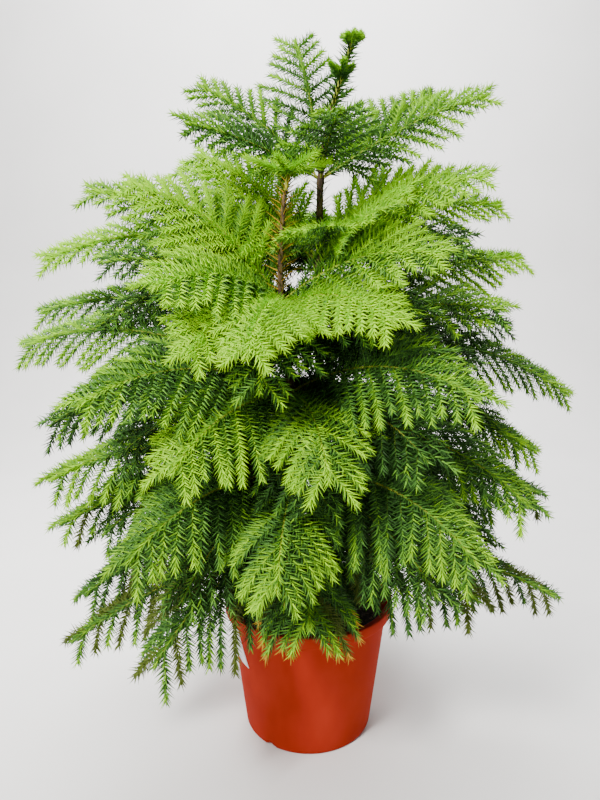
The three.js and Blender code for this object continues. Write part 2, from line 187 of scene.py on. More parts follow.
# Finishes: octaves of their noise, depth of their relief, and the span of the noise that colours spread over
PATCH_DETAIL = 4.0
GRAIN_DETAIL = 2.0
RELIEF_DEPTH = 1.0 * MM
RAMP_SPAN = (0.32, 0.68)

# Values that points carry into a node tree, and that the grown mesh doesn't keep
CARRIED_VALUES = ("heading", "thick", "bulk", "tilt")


class Draw(IntEnum):
    """Which of a side shoot's chances is drawn, as a step beside the number of its side."""

    LENGTH = 0
    ANGLE = 5
    TONE = 9
    DRIFT = 13
    FADING = 17


def lerp(a: float, b: float, t: float | Points) -> float | Points:
    """Value at share t of the way from a to b."""
    return a + (b - a) * t


def smooth(low: float, high: float, x: float | Points) -> float | Points:
    """Soft step from 0 at low to 1 at high."""
    t = np.clip((x - low) / (high - low), 0.0, 1.0)
    return t * t * (3 - 2 * t)


def chance(a: float, b: float, c: float) -> float:
    """Repeatable chance for a choice that a branch makes at one of its places.

    Args:
        a: Number of the branch.
        b: Number of the place.
        c: Number of the choice.

    Returns:
        The chance, between 0 and 1.
    """
    branch_step, place_step, choice_step = CHANCE_STEPS
    value = math.sin(a * branch_step + b * place_step + c * choice_step) * CHANCE_GAIN
    return value - math.floor(value)


def swing(a: float, b: float, c: float) -> float:
    """The same chance as a swing between -0.5 and 0.5."""
    return chance(a, b, c) - 0.5


def unit(vectors: Points) -> Points:
    """The vectors at length 1."""
    return vectors / np.linalg.norm(vectors, axis=-1, keepdims=True)


def heading_to(azimuth: float, rise: float) -> Points:
    """Direction with an azimuth from +X and a rise above the level, both in degrees."""
    turn, tilt = math.radians(azimuth), math.radians(rise)
    return np.array([math.cos(tilt) * math.cos(turn), math.cos(tilt) * math.sin(turn), math.sin(tilt)])


def walk(line: Points, share: Points) -> tuple[Points, Points]:
    """Places on a polyline with evenly spaced points.

    Args:
        line: Points of the polyline.
        share: Shares of its length, from 0 to 1.

    Returns:
        The places and the directions in which the line runs there.
    """
    x = np.asarray(share) * (len(line) - 1)
    i = np.minimum(x.astype(int), len(line) - 2)
    step = line[i + 1] - line[i]
    return line[i] + step * (x - i)[..., None], unit(step)


def openness(point: Points) -> float:
    """How far out in the crown a place lies.

    Args:
        point: The place.

    Returns:
        0 at the middle, and about 1 at the skin.
    """
    heights, radii = zip(*CROWN_SKIN)
    depth = FRONT_DEPTH if point[1] < 0 else BACK_DEPTH
    return math.hypot(point[0], point[1] / depth) / float(np.interp(point[2], heights, radii))


def ripple(points: Points, scale: float, seed: float) -> Points:
    """Smooth random height between about -1 and 1 at each point.

    Args:
        points: Places in millimetres.
        scale: Width of a ripple in millimetres.
        seed: Shift that gives each use its own pattern.

    Returns:
        One height for each point.
    """
    return np.array([noise.noise(Vector(p / scale) + Vector((seed, seed, seed))) for p in points])


def round_points(radius: float | Points, turn: Points, z: float | Points) -> Points:
    """Points round the upright axis, by their radius, turn in radians and height."""
    return np.stack([radius * np.cos(turn), radius * np.sin(turn), z + 0.0 * turn], axis=-1)


def place(name: str, mesh: bpy.types.Mesh) -> bpy.types.Object:
    """Object for a mesh, in the scene.

    Args:
        name: Name of the piece.
        mesh: Its mesh, with its place in its corners.

    Returns:
        The object.
    """
    piece = bpy.data.objects.new(name, mesh)
    bpy.context.scene.collection.objects.link(piece)
    return piece


def skin_piece(name: str, points: Points, faces: Faces, material: bpy.types.Material) -> bpy.types.Object:
    """Smooth piece from points in millimetres.

    Args:
        name: Name of the piece.
        points: Corners in millimetres.
        faces: Corner numbers of each face, counted so that it looks outwards.
        material: Its finish.

    Returns:
        The piece, in metres.
    """
    mesh = bpy.data.meshes.new(name)
    mesh.from_pydata((np.asarray(points) * MM).tolist(), [], faces)
    mesh.shade_smooth()
    mesh.validate()
    mesh.materials.append(material)
    return place(name, mesh)


def settle(piece: bpy.types.Object, nodes: tuple[str, ...] = ()) -> bpy.types.Object:
    """Joins a finished piece to the plant's body.

    Args:
        piece: The finished piece.
        nodes: The solids that it stands for.

    Returns:
        The piece.
    """
    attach(piece, "root")
    if nodes:
        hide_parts(*nodes)
    return piece


class NodeSheet:
    """A Geometry Nodes tree with named inputs, drawn up node by node."""

    def __init__(self, name: str) -> None:
        """Starts a tree that takes a geometry in and gives one out.

        Args:
            name: Name of the tree.
        """
        self.tree = bpy.data.node_groups.new(name, "GeometryNodeTree")
        self.sockets: dict[str, str] = {}
        self.inlet = self.tree.nodes.new("NodeGroupInput")
        self.outlet = self.tree.nodes.new("NodeGroupOutput")
        self.tree.interface.new_socket("Geometry", in_out="OUTPUT", socket_type="NodeSocketGeometry")
        self.geometry = self.ask("Geometry", "NodeSocketGeometry")

    def ask(self, name: str, kind: str) -> bpy.types.NodeSocket:
        """Adds a named input.

        Args:
            name: Name of the input.
            kind: Blender's name for the kind of socket.

        Returns:
            The socket that its value comes from.
        """
        socket = self.tree.interface.new_socket(name, in_out="INPUT", socket_type=kind)
        self.sockets[name] = socket.identifier
        return self.inlet.outputs[name]

    def add(self, kind: str, settings: dict[str, object] | None = None, **inputs: object) -> bpy.types.Node:
        """Adds a node.

        Args:
            kind: Blender's name for the node.
            settings: The node's own choices.
            **inputs: Sockets to link to, or values to set, by input name with _ for a space.

        Returns:
            The node.
        """
        node = self.tree.nodes.new(kind)
        for key, value in (settings or {}).items():
            setattr(node, key, value)
        for key, value in inputs.items():
            socket = node.inputs[key.replace("_", " ")]
            if isinstance(value, bpy.types.NodeSocket):
                self.tree.links.new(value, socket)
            else:
                socket.default_value = value
        return node

    def attribute(self, name: str, kind: str) -> bpy.types.NodeSocket:
        """Socket that reads a named attribute of the geometry."""
        reader = self.add("GeometryNodeInputNamedAttribute", {"data_type": kind}, Name=name)
        return reader.outputs["Attribute"]

    def stand(self, shape: bpy.types.Node, turn: bpy.types.Node) -> None:
        """Ends the tree with a shape on every point, as big as the bulk that the point carries.

        Args:
            shape: Node that makes the shape.
            turn: Node that gives the rotation at each point.
        """
        stood = self.add(
            "GeometryNodeInstanceOnPoints",
            Points=self.geometry,
            Instance=shape.outputs["Mesh"],
            Rotation=turn.outputs["Rotation"],
            Scale=self.attribute("bulk", "FLOAT_VECTOR"),
        )
        self.close(stood.outputs["Instances"])

    def close(self, geometry: bpy.types.NodeSocket) -> None:
        """Ends the tree with real meshes in the asked material.

        Args:
            geometry: Socket that gives what has been made.
        """
        real = self.add("GeometryNodeRealizeInstances", Geometry=geometry)
        dressed = self.add(
            "GeometryNodeSetMaterial",
            Geometry=real.outputs["Geometry"],
            Material=self.ask("Material", "NodeSocketMaterial"),
        )
        self.tree.links.new(dressed.outputs["Geometry"], self.outlet.inputs["Geometry"])

    def grow(self, name: str, mesh: bpy.types.Mesh, values: dict[str, object]) -> bpy.types.Object:
        """Runs the tree on a mesh.

        Args:
            name: Name of the piece.
            mesh: Mesh that the tree takes in, which is used up.
            values: Value of each named input.

        Returns:
            The piece, a plain mesh with no modifier.
        """
        holder = place(name + "_holder", mesh)
        modifier = holder.modifiers.new("grow", "NODES")
        modifier.node_group = self.tree
        for key, value in values.items():
            modifier[self.sockets[key]] = value
        bpy.context.view_layer.update()
        graph = bpy.context.evaluated_depsgraph_get()
        grown = bpy.data.meshes.new_from_object(holder.evaluated_get(graph), depsgraph=graph)
        holder.modifiers.clear()
        bpy.data.objects.remove(holder)
        bpy.data.meshes.remove(mesh)
        for carried in CARRIED_VALUES:
            if carried in grown.attributes:
                grown.attributes.remove(grown.attributes[carried])
        grown.name = name
        return place(name, grown)


def loose_points(name: str, points: Points, **attributes: Points) -> bpy.types.Mesh:
    """Mesh of bare points that carry values for a node tree.

    Args:
        name: Name of the mesh.
        points: Places in millimetres.
        **attributes: A number or a vector for each point, by name.

    Returns:
        The mesh, in metres.
    """
    mesh = bpy.data.meshes.new(name)
    mesh.vertices.add(len(points))
    mesh.vertices.foreach_set("co", (points * MM).astype(np.float32).ravel())
    for key, values in attributes.items():
        flat = values.ndim == 1
        layer = mesh.attributes.new(key, "FLOAT" if flat else "FLOAT_VECTOR", "POINT")
        layer.data.foreach_set("value" if flat else "vector", values.astype(np.float32).ravel())
    return mesh


@dataclass(frozen=True)
class Finish:
    """A finish with a mottled colour and a fine relief.

    Attributes:
        name: Name of the material.
        stops: Colours from the dark to the pale patches, in linear light.
        patch: Patches to a metre.
        roughness: Gloss of the surface, from 0 to 1.
        grain: Ripples of the relief to a metre.
        relief: Strength of the relief.
        specular: Strength of the reflection.
        stretch: Scale of the pattern along each axis.
    """

    name: str
    stops: tuple[Colour, ...]
    patch: float
    roughness: float
    grain: float = 0.0
    relief: float = 0.0
    specular: float = 0.4
    stretch: tuple[float, float, float] = (1.0, 1.0, 1.0)

    def material(self) -> bpy.types.Material:
        """Makes the material.

        Returns:
            The material, on Object coordinates.
        """
        material = bpy.data.materials.new(self.name)
        material.use_nodes = True
        tree = material.node_tree
        shader = tree.nodes["Principled BSDF"]
        shader.inputs["Roughness"].default_value = self.roughness
        shader.inputs["Specular IOR Level"].default_value = self.specular
        mapping = tree.nodes.new("ShaderNodeMapping")
        mapping.inputs["Scale"].default_value = self.stretch
        coords = tree.nodes.new("ShaderNodeTexCoord")
        tree.links.new(coords.outputs["Object"], mapping.inputs["Vector"])
        patches = self.noise(tree, mapping, self.patch, PATCH_DETAIL)
        ramp = tree.nodes.new("ShaderNodeValToRGB")
        self.fill(ramp.color_ramp)
        tree.links.new(patches.outputs["Fac"], ramp.inputs["Fac"])
        tree.links.new(ramp.outputs["Color"], shader.inputs["Base Color"])
        if self.relief:
            grain = self.noise(tree, mapping, self.grain, GRAIN_DETAIL)
            bump = tree.nodes.new("ShaderNodeBump")
            bump.inputs["Strength"].default_value = self.relief
            bump.inputs["Distance"].default_value = RELIEF_DEPTH
            tree.links.new(grain.outputs["Fac"], bump.inputs["Height"])
            tree.links.new(bump.outputs["Normal"], shader.inputs["Normal"])
        return material

    def noise(
        self, tree: bpy.types.NodeTree, mapping: bpy.types.Node, scale: float, detail: float
    ) -> bpy.types.Node:
        """Noise on the mapped coordinates.

        Args:
            tree: The material's nodes.
            mapping: Node that gives the coordinates.
            scale: Patches to a metre.
            detail: Octaves of finer noise.

        Returns:
            The noise node.
        """
        node = tree.nodes.new("ShaderNodeTexNoise")
        node.inputs["Scale"].default_value = scale
        node.inputs["Detail"].default_value = detail
        tree.links.new(mapping.outputs["Vector"], node.inputs["Vector"])
        return node

    def fill(self, ramp: bpy.types.ColorRamp) -> None:
        """Spreads the colours over the middle of the ramp, where the noise lies.

        Args:
            ramp: The ramp, with two stops.
        """
        places = np.linspace(*RAMP_SPAN, len(self.stops))
        while len(ramp.elements) < len(self.stops):
            ramp.elements.new(0.5)
        for element, at, colour in zip(ramp.elements, places, self.stops):
            element.position = at
            element.color = (*colour, 1.0)


@dataclass(frozen=True)
class NeedleFinish:
    """Soft green of one shade of needles, plain because whole sprays take one shade.

    Attributes:
        colour: Colour of the needles, in linear light.
        from_tone: Tone, freshness with painted light and shade, from which a spray takes this shade.
        roughness: Gloss of the needles.
        specular: Strength of the reflection.
    """

    colour: Colour
    from_tone: float
    roughness: float = 0.6
    specular: float = 0.12

    def material(self, name: str) -> bpy.types.Material:
        """Makes the material.

        Args:
            name: Name of the material.

        Returns:
            The material, in one plain colour.
        """
        material = bpy.data.materials.new(name)
        material.use_nodes = True
        shader = material.node_tree.nodes["Principled BSDF"]
        shader.inputs["Base Color"].default_value = (*self.colour, 1.0)
        shader.inputs["Roughness"].default_value = self.roughness
        shader.inputs["Specular IOR Level"].default_value = self.specular
        return material


class Shade(Enum):
    """Shades of needle: dried, faded, and greens from old needles in painted shade to young needles in
    painted light.
    """

    DRY = NeedleFinish((0.44, 0.25, 0.02), from_tone=-9.0, roughness=0.7)
    OLIVE = NeedleFinish((0.085, 0.120, 0.016), from_tone=-3.0, roughness=0.7)
    DEEP = NeedleFinish((0.011, 0.037, 0.005), from_tone=-1.0)
    DARK = NeedleFinish((0.028, 0.084, 0.013), from_tone=0.18)
    MID = NeedleFinish((0.057, 0.160, 0.024), from_tone=0.36)
    LEAF = NeedleFinish((0.112, 0.280, 0.026), from_tone=0.52)
    FRESH = NeedleFinish((0.200, 0.430, 0.014), from_tone=0.68)
    LIME = NeedleFinish((0.340, 0.660, 0.005), from_tone=0.86)


# Freshness of dried and of faded needles, below that of all greens
DRY_TONE = -5.0
OLIVE_TONE = -2.0

SOIL_FINISH = Finish(
    "peat", ((0.006, 0.005, 0.004), (0.020, 0.014, 0.009), (0.050, 0.034, 0.020)),
    patch=260.0, roughness=0.95, grain=900.0, relief=0.9, specular=0.2,
)
CHIP_FINISH = Finish(
    "bark_chip", ((0.020, 0.012, 0.007), (0.075, 0.044, 0.022), (0.16, 0.10, 0.05)),
    patch=60.0, roughness=0.9, grain=700.0, relief=0.5, specular=0.25,
)
BARK_FINISH = Finish(
    "stem_bark", ((0.022, 0.013, 0.007), (0.070, 0.041, 0.017), (0.170, 0.110, 0.042)),
    patch=220.0, roughness=0.8, grain=900.0, relief=0.6, specular=0.3, stretch=(1.0, 1.0, 0.35),
)
AXIS_FINISH = Finish(
    "frond_axis", ((0.090, 0.120, 0.010), (0.200, 0.230, 0.020), (0.330, 0.320, 0.034)),
    patch=90.0, roughness=0.6, grain=800.0, relief=0.2, specular=0.1,
)
# Darker and lighter copies of the twig finish: partly the age of the shoot, partly painted shade and painted
# light by where the shoot stands
OLD_SHADED_TWIG_FINISH = Finish(
    "old_twig", ((0.020, 0.052, 0.004), (0.045, 0.090, 0.007), (0.080, 0.120, 0.012)),
    patch=70.0, roughness=0.6, grain=800.0, relief=0.1, specular=0.1,
)
YOUNG_LIT_TWIG_FINISH = Finish(
    "young_twig", ((0.120, 0.220, 0.008), (0.200, 0.330, 0.012), (0.290, 0.400, 0.018)),
    patch=70.0, roughness=0.6, grain=800.0, relief=0.1, specular=0.1,
)
POT_FINISH = Finish(
    "moulded_pot", ((0.300, 0.020, 0.008), (0.350, 0.025, 0.010), (0.400, 0.032, 0.013)),
    patch=14.0, roughness=0.65, grain=1500.0, relief=0.05, specular=0.02, stretch=(1.0, 1.0, 0.5),
)
LABEL_FINISH = Finish(
    "plain_label", ((0.70, 0.69, 0.67), (0.80, 0.79, 0.77)),
    patch=120.0, roughness=0.5, grain=600.0, relief=0.05,
)
FLOOR_FINISH = Finish("studio_floor", ((0.80, 0.79, 0.78), (0.84, 0.83, 0.82)), patch=3.0, roughness=0.7)


class TwigKind(Enum):
    """Kinds of twig, each with the finish and the number of sides of its tubes."""

    AXES = (AXIS_FINISH, 6)
    OLD_SHOOTS = (OLD_SHADED_TWIG_FINISH, 3)
    YOUNG_SHOOTS = (YOUNG_LIT_TWIG_FINISH, 3)


@dataclass(frozen=True)
class NeedleHabit:
    """How needles stand on a twig.

    Attributes:
        length: Length of a needle.
        width: Width of its foot.
        per_mm: Needles to a millimetre of twig.
        spread: Angle from the twig at its foot and at its end.
        flat: Share of the outward lean that is left over the upper and under faces.
    """

    length: float
    width: float
    per_mm: float
    spread: tuple[float, float]
    flat: float


SHOOT_HABIT = NeedleHabit(length=15.0, width=2.0, per_mm=1.25, spread=(58.0, 30.0), flat=0.6)
AXIS_HABIT = NeedleHabit(length=14.0, width=2.0, per_mm=1.5, spread=(56.0, 28.0), flat=0.5)
TUFT_HABIT = NeedleHabit(length=15.0, width=2.0, per_mm=2.4, spread=(54.0, 26.0), flat=0.9)
BUD_HABIT = NeedleHabit(length=9.0, width=2.6, per_mm=6.0, spread=(66.0, 40.0), flat=1.0)
LEADER_HABIT = NeedleHabit(length=22.0, width=2.6, per_mm=1.3, spread=(68.0, 62.0), flat=1.0)
STRAW_HABIT = NeedleHabit(length=25.0, width=1.6, per_mm=0.55, spread=(62.0, 54.0), flat=1.0)


@dataclass
class Twig:
    """A leafy twig.

    Attributes:
        line: Points of its centre line, evenly spaced.
        radius: Radius at its foot and at its end.
        face: Direction that its upper face looks to.
        tone: Tone of its needles, from their freshness and from painted light and shade.
        habit: How its needles stand.
        bare: Share of its length that has no needles, from its foot.
        fresh_end: How much fresher its last needles are.
        spray: Number that the chances of this twig start from.
        density: Share of the habit's needles that it has.
        dry_end: Share of its length, at its end, where the needles have dried.
    """

    line: Points
    radius: tuple[float, float]
    face: Points
    tone: float
    habit: NeedleHabit
    bare: float = 0.0
    fresh_end: float = 0.25
    spray: int = 0
    density: float = 1.0
    dry_end: float = 0.0

    @property
    def length(self) -> float:
        """Length of the centre line."""
        return float(np.linalg.norm(np.diff(self.line, axis=0), axis=1).sum())


@dataclass(frozen=True)
class Stem:
    """One of the two stems, from the soil to its tip.

    Attributes:
        name: Name that its solids start with.
        line: Points that its centre line runs through.
        base_radius: Radius above the root flare.
        tip_radius: Radius at the tip.
        flare: Extra radius at the soil and the height over which it fades.
    """

    name: str
    line: tuple[Place, ...]
    base_radius: float
    tip_radius: float
    flare: tuple[float, float] = (4.0, 26.0)

    @property
    def foot(self) -> float:
        """Height of the foot."""
        return self.line[0][2]

    @property
    def top(self) -> float:
        """Height of the tip."""
        return self.line[-1][2]

    def centre(self, z: float) -> Points:
        """Middle of the stem at a height, on a smooth curve through the points of its line.

        Args:
            z: The height.

        Returns:
            The point.
        """
        line = np.array(self.line)
        last = len(line) - 1
        i = 0
        while i < last - 1 and line[i + 1][2] < z:
            i += 1
        rise = line[i + 1][2] - line[i][2]
        t = (z - line[i][2]) / rise

        def slope(k: int) -> Points:
            """Lean of the line at its point k."""
            low, high = line[max(0, k - 1)], line[min(last, k + 1)]
            return (high - low) / (high[2] - low[2])

        point = (
            (2 * t**3 - 3 * t**2 + 1) * line[i]
            + (3 * t**2 - 2 * t**3) * line[i + 1]
            + (t**3 - 2 * t**2 + t) * rise * slope(i)
            + (t**3 - t**2) * rise * slope(i + 1)
        )
        return np.array([point[0], point[1], z])

    def radius(self, z: float) -> float:
        """Radius of the stem at a height.

        Args:
            z: The height.

        Returns:
            The radius.
        """
        share = (z - self.foot) / (self.top - self.foot)
        flare, fade = self.flare
        return lerp(self.base_radius, self.tip_radius, share) + flare * math.exp(-(z - self.foot) / fade)

    def stretch(self, low: float, high: float, steps: int) -> Points:
        """Points of the centre line between two heights."""
        return np.array([self.centre(z) for z in np.linspace(low, high, steps + 1)])


@dataclass(frozen=True)
class Whorl:
    """Branches that leave a stem at one height.

    Attributes:
        height: Height on the stem.
        droop: Degrees that a branch turns down on its way to the tip.
        shoot: Longest side shoot.
        sag: Sag of a shoot under its own weight.
        lift: Tilt of the shoots out of the branch's plane.
        tip_share: Share of the shoot length that is left at the tip.
        bare: Length without shoots.
        tone: Tone of the needles, from their freshness and from painted shade that deepens on the lower
            whorls.
        branches: Azimuth, length and rise of each branch.
        bough: Whether the bare length is a bough of its own.
        layered: Whether a finer branch hangs under each branch.
        faded: Share of the sprays that have turned olive.
        dry_branch: Number of the branch whose tips have dried, from 1, or 0 for none.
        crowded: Whether short branches stand on the side of the other stem.
        between: Azimuth, length and rise of finer branches that stand between the main ones.
        bright: Numbers of the branches with painted light, whose needles are lighter than the others, from
            1.
    """

    height: float
    droop: float
    shoot: float
    sag: float
    lift: float
    tip_share: float
    bare: float
    tone: float
    branches: tuple[Branch, ...]
    bough: bool = False
    layered: bool = True
    faded: float = 0.0
    dry_branch: int = 0
    crowded: bool = True
    between: tuple[Branch, ...] = ()
    bright: tuple[int, ...] = ()


@dataclass(frozen=True)
class Tuft:
    """Young shoots round a stem.

    Attributes:
        below: How far below the stem's tip they stand.
        shoots: Number of shoots.
        length: Length of a shoot.
        rise: Rise of a shoot in degrees.
        phase: Azimuth of the first.
        tone: Freshness of the needles.
        habit: How the needles stand.
        core: Length of the bud in their middle.
    """

    below: float
    shoots: int
    length: float
    rise: float
    phase: float
    tone: float
    habit: NeedleHabit
    core: float = 0.0


REAR = Stem(
    "rear", ((15, 28, 165.3), (17, 30, 450), (16, 30, 790), (26, 30, 870), (58, 28, 979)),
    base_radius=10.5, tip_radius=2.8,
)
FORE = Stem(
    "fore", ((-8, -28, 165.3), (-20, -38, 450), (-38, -45, 650), (-34, -45, 750), (-28, -45, 791)),
    base_radius=9.0, tip_radius=2.6,
)

# On both stems the lower whorls have a lower tone: painted shade from the whorls above
REAR_WHORLS = (
    Whorl(
        height=800, droop=22, shoot=78, sag=0.2, lift=0, tip_share=0.5, bare=15, tone=0.48,
        branches=(
            (-4, 252, 34), (30, 272, 44), (112, 240, 76), (164, 232, 47), (206, 200, 24), (274, 150, 30),
        ),
        layered=False, crowded=False, bright=(6,),
    ),
    Whorl(
        height=690, droop=42, shoot=85, sag=0.25, lift=0, tip_share=0.4, bare=20, tone=0.56,
        branches=((-28, 258, 40), (14, 320, 34), (92, 300, 36), (160, 270, 50), (184, 394, 17)),
        crowded=False, bright=(1, 4),
        between=(
            (206, 170, 34), (276, 130, 34), (302, 160, 38), (50, 280, 30),
            (128, 300, 34), (170, 250, 58), (20, 260, 50), (330, 170, 50),
        ),
    ),
    Whorl(
        height=575, droop=40, shoot=95, sag=0.4, lift=-4, tip_share=0.4, bare=25, tone=0.36,
        branches=((-22, 270, 26), (18, 398, 36), (14, 435, 4), (108, 340, 24), (177, 438, 22)),
        bright=(1, 2), between=((62, 330, 22), (140, 340, 22)),
    ),
    Whorl(
        height=455, droop=45, shoot=100, sag=0.6, lift=-8, tip_share=0.42, bare=30, tone=0.38,
        branches=((-32, 328, 5), (4, 365, 9), (58, 340, 14), (122, 350, 14), (190, 385, 20)),
        bright=(2, 5),
    ),
    Whorl(
        height=345, droop=45, shoot=100, sag=0.8, lift=-10, tip_share=0.42, bare=50, tone=0.26,
        branches=((-8, 328, 21), (42, 366, 20), (92, 360, 10), (148, 370, 10), (200, 378, 18)),
        faded=0.15, bright=(5,),
    ),
    Whorl(
        height=250, droop=40, shoot=90, sag=0.9, lift=-12, tip_share=0.4, bare=70, tone=0.16,
        branches=((-16, 350, 12), (66, 334, 5), (170, 375, 10), (212, 375, 10)),
        bough=True, layered=False, faded=0.5,
    ),
)
FORE_WHORLS = (
    Whorl(
        height=630, droop=50, shoot=88, sag=0.3, lift=0, tip_share=0.4, bare=15, tone=0.58,
        branches=((180, 298, 50), (234, 215, 24), (262, 215, 4), (330, 230, 34)),
        bright=(3, 4), between=((242, 210, 4), (312, 205, 14), (186, 262, 58)),
    ),
    Whorl(
        height=508, droop=54, shoot=100, sag=0.45, lift=-4, tip_share=0.45, bare=20, tone=0.34,
        branches=((176, 410, 31), (214, 300, 24), (286, 220, 2), (318, 290, 26)),
        bright=(3,), between=((236, 235, 6),),
    ),
    Whorl(
        height=390, droop=55, shoot=105, sag=0.7, lift=-10, tip_share=0.45, bare=25, tone=0.33,
        branches=((193, 335, 26), (231, 290, 14), (264, 240, 5), (312, 310, 16)),
        bright=(1, 3),
    ),
    Whorl(
        height=290, droop=55, shoot=105, sag=0.9, lift=-12, tip_share=0.45, bare=60, tone=0.16,
        branches=((194, 310, 14), (233, 285, 10), (272, 195, 12), (328, 268, 17)),
        bough=True, layered=False, faded=0.35, dry_branch=3, bright=(3,),
    ),
)

REAR_TUFTS = (
    Tuft(below=0.0, shoots=7, length=17.0, rise=26.0, phase=20.0, tone=0.84, habit=BUD_HABIT, core=7.0),
    Tuft(below=42.0, shoots=5, length=22.0, rise=40.0, phase=60.0, tone=0.70, habit=BUD_HABIT),
)
FORE_TUFTS = (
    Tuft(below=0.0, shoots=6, length=50.0, rise=16.0, phase=250.0, tone=0.98, habit=TUFT_HABIT, core=7.0),
)


@dataclass
class Pot:
    """Moulded nursery pot with a rim band and drain notches at its foot, and a plain label on its wall.

    Attributes:
        height: Height of the pot.
        rim_radius: Outer radius of the rim band.
        rim_band: Height of the rim band.
        rim_step: How far the band stands out of the wall.
        base_radius: Outer radius of the foot.
        wall: Thickness of the wall.
        floor: Thickness of the floor.
        sides: Sides of the round.
        notches: Number of drain notches, their width, height, depth and first azimuth.
        underside: Radii of the rings of its flat underside.
        ring_step: Distance between the rings of its wall.
        soil_top: Height of the soil that hanging twigs keep clear of.
        rim_room: Share of a twig's room that is enough over the rim.
        label_heights: Heights of the label's lower and upper edges.
        label_slant: How much its edges climb from the right to the left.
        label_low: Azimuths of the ends of its lower edge.
        label_high: Azimuths of the ends of its upper edge.
        label_proud: How far its back and its face stand out of the wall.
        label_grid: Points of its mesh across and up.
    """

    height: float = 193.0
    rim_radius: float = 125.0
    rim_band: float = 15.5
    rim_step: float = 8.0
    base_radius: float = 94.5
    wall: float = 2.4
    floor: float = 3.0
    sides: int = 160
    notches: tuple[int, float, float, float, float] = (3, 14.0, 6.0, 12.0, 235.0)
    underside: tuple[float, float] = (60.0, 82.0)
    ring_step: float = 22.0
    soil_top: float = 165.0
    rim_room: float = 0.7
    label_heights: tuple[float, float] = (118.0, 172.0)
    label_slant: float = 6.0
    label_low: tuple[float, float] = (168.0, 219.0)
    label_high: tuple[float, float] = (160.0, 209.0)
    label_proud: tuple[float, float] = (0.1, 0.45)
    label_grid: tuple[int, int] = (25, 13)

    def wall_radius(self, z: float | Points) -> float | Points:
        """Outer radius of the wall at a height."""
        return lerp(self.base_radius, self.rim_radius - self.rim_step, z / (self.height - self.rim_band))

    def inner_radius(self, z: float | Points) -> float | Points:
        """Inner radius of the wall at a height."""
        return self.wall_radius(z) - self.wall

    def profile(self) -> Points:
        """Half section of the pot from the middle of its underside round to the middle of its floor.

        Returns:
            Radius and height of each point.
        """
        top, band = self.height, self.height - self.rim_band
        foot, rim, wall = self.base_radius, self.rim_radius, self.rim_radius - self.rim_step
        lip = self.inner_radius(top)
        return np.array([
            # Underside and rounded foot
            *[(radius, 0.0) for radius in self.underside],
            (foot - 3.0, 0.0), (foot - 1.2, 0.3), (foot - 0.2, 1.4),
            # Wall, and the corner under the band
            *[(self.wall_radius(z), z) for z in (3.0, *np.arange(9.0, band - 10.0, self.ring_step))],
            (wall - 0.3, band - 2.0), (wall, band - 0.4), (wall + 0.5, band),
            # Band and rounded rim
            (rim - 1.6, band), (rim - 0.7, band + 0.3), (rim - 0.4, band + 1.2),
            (rim - 0.1, top - 2.4), (rim - 0.2, top - 1.0), (rim - 0.9, top - 0.2), (rim - 1.8, top),
            (lip + 1.2, top), (lip + 0.3, top - 0.4), (lip, top - 1.4),
            # Inside, and the rounded corner of the floor
            *[(self.inner_radius(z), z) for z in (150.0, 60.0, self.floor + 3.0)],
            (self.inner_radius(self.floor) - 3.0, self.floor),
        ])

    def notch_lift(self, azimuth: Points, radius: float, z: float) -> Points:
        """How far the underside is raised at the foot of the wall, for the water to drain.

        Args:
            azimuth: Azimuths round the pot, in degrees.
            radius: Distance from the axis.
            z: Height before the notches are made.

        Returns:
            The rise at each azimuth.
        """
        count, width, height, depth, phase = self.notches
        apart = (azimuth - phase + 180.0 / count) % (360.0 / count) - 180.0 / count
        across = np.abs(np.radians(apart)) * self.base_radius / (width / 2)
        arch = height * np.sqrt(np.clip(1 - across**2, 0.0, 1.0))
        return np.where(radius > self.base_radius - depth, np.maximum(arch - z, 0.0), 0.0)

    def build(self) -> list[bpy.types.Object]:
        """Makes the pot and its label.

        Returns:
            The finished pieces.
        """
        azimuth = np.arange(self.sides) * 360.0 / self.sides
        turn = np.radians(azimuth)
        rings = [round_points(r, turn, z + self.notch_lift(azimuth, r, z)) for r, z in self.profile()]
        points, faces = lathe_faces(rings, (0.0, 0.0, 0.0), (0.0, 0.0, self.floor))
        body = skin_piece("pot_body", points, faces, POT_FINISH.material())
        return [settle(body, ("pot",)), self.label()]

    def label(self) -> bpy.types.Object:
        """Makes the plain white label, stuck askew on the left of the wall.

        Returns:
            The finished label.
        """
        columns, rows = self.label_grid
        across, up = np.meshgrid(np.linspace(0, 1, columns), np.linspace(0, 1, rows))
        z = lerp(*self.label_heights, up) + self.label_slant * (0.5 - across)
        turn = np.radians(lerp(lerp(*self.label_low, across), lerp(*self.label_high, across), up))
        back, face = [round_points(self.wall_radius(z) + proud, turn, z) for proud in self.label_proud]
        points, faces = slab_faces(face, back)
        label = skin_piece("plain_label", points, faces, LABEL_FINISH.material())
        return settle(label)

    def keeps_out(self, points: Points, room: float) -> np.ndarray:
        """Whether points lie clear of the pot and of the ground.

        Args:
            points: Places to test.
            room: Space that needles need round them.

        Returns:
            True for each point that is clear.
        """
        out = np.hypot(points[:, 0], points[:, 1])
        z = points[:, 2]
        beside = np.where(z > self.height - self.rim_band - room, self.rim_radius, self.wall_radius(z))
        above = z > self.height + room * self.rim_room
        outside = out > beside + room
        inside = (out < self.inner_radius(z) - room) & (z > self.soil_top + room)
        return (above | outside | inside) & (z > room)


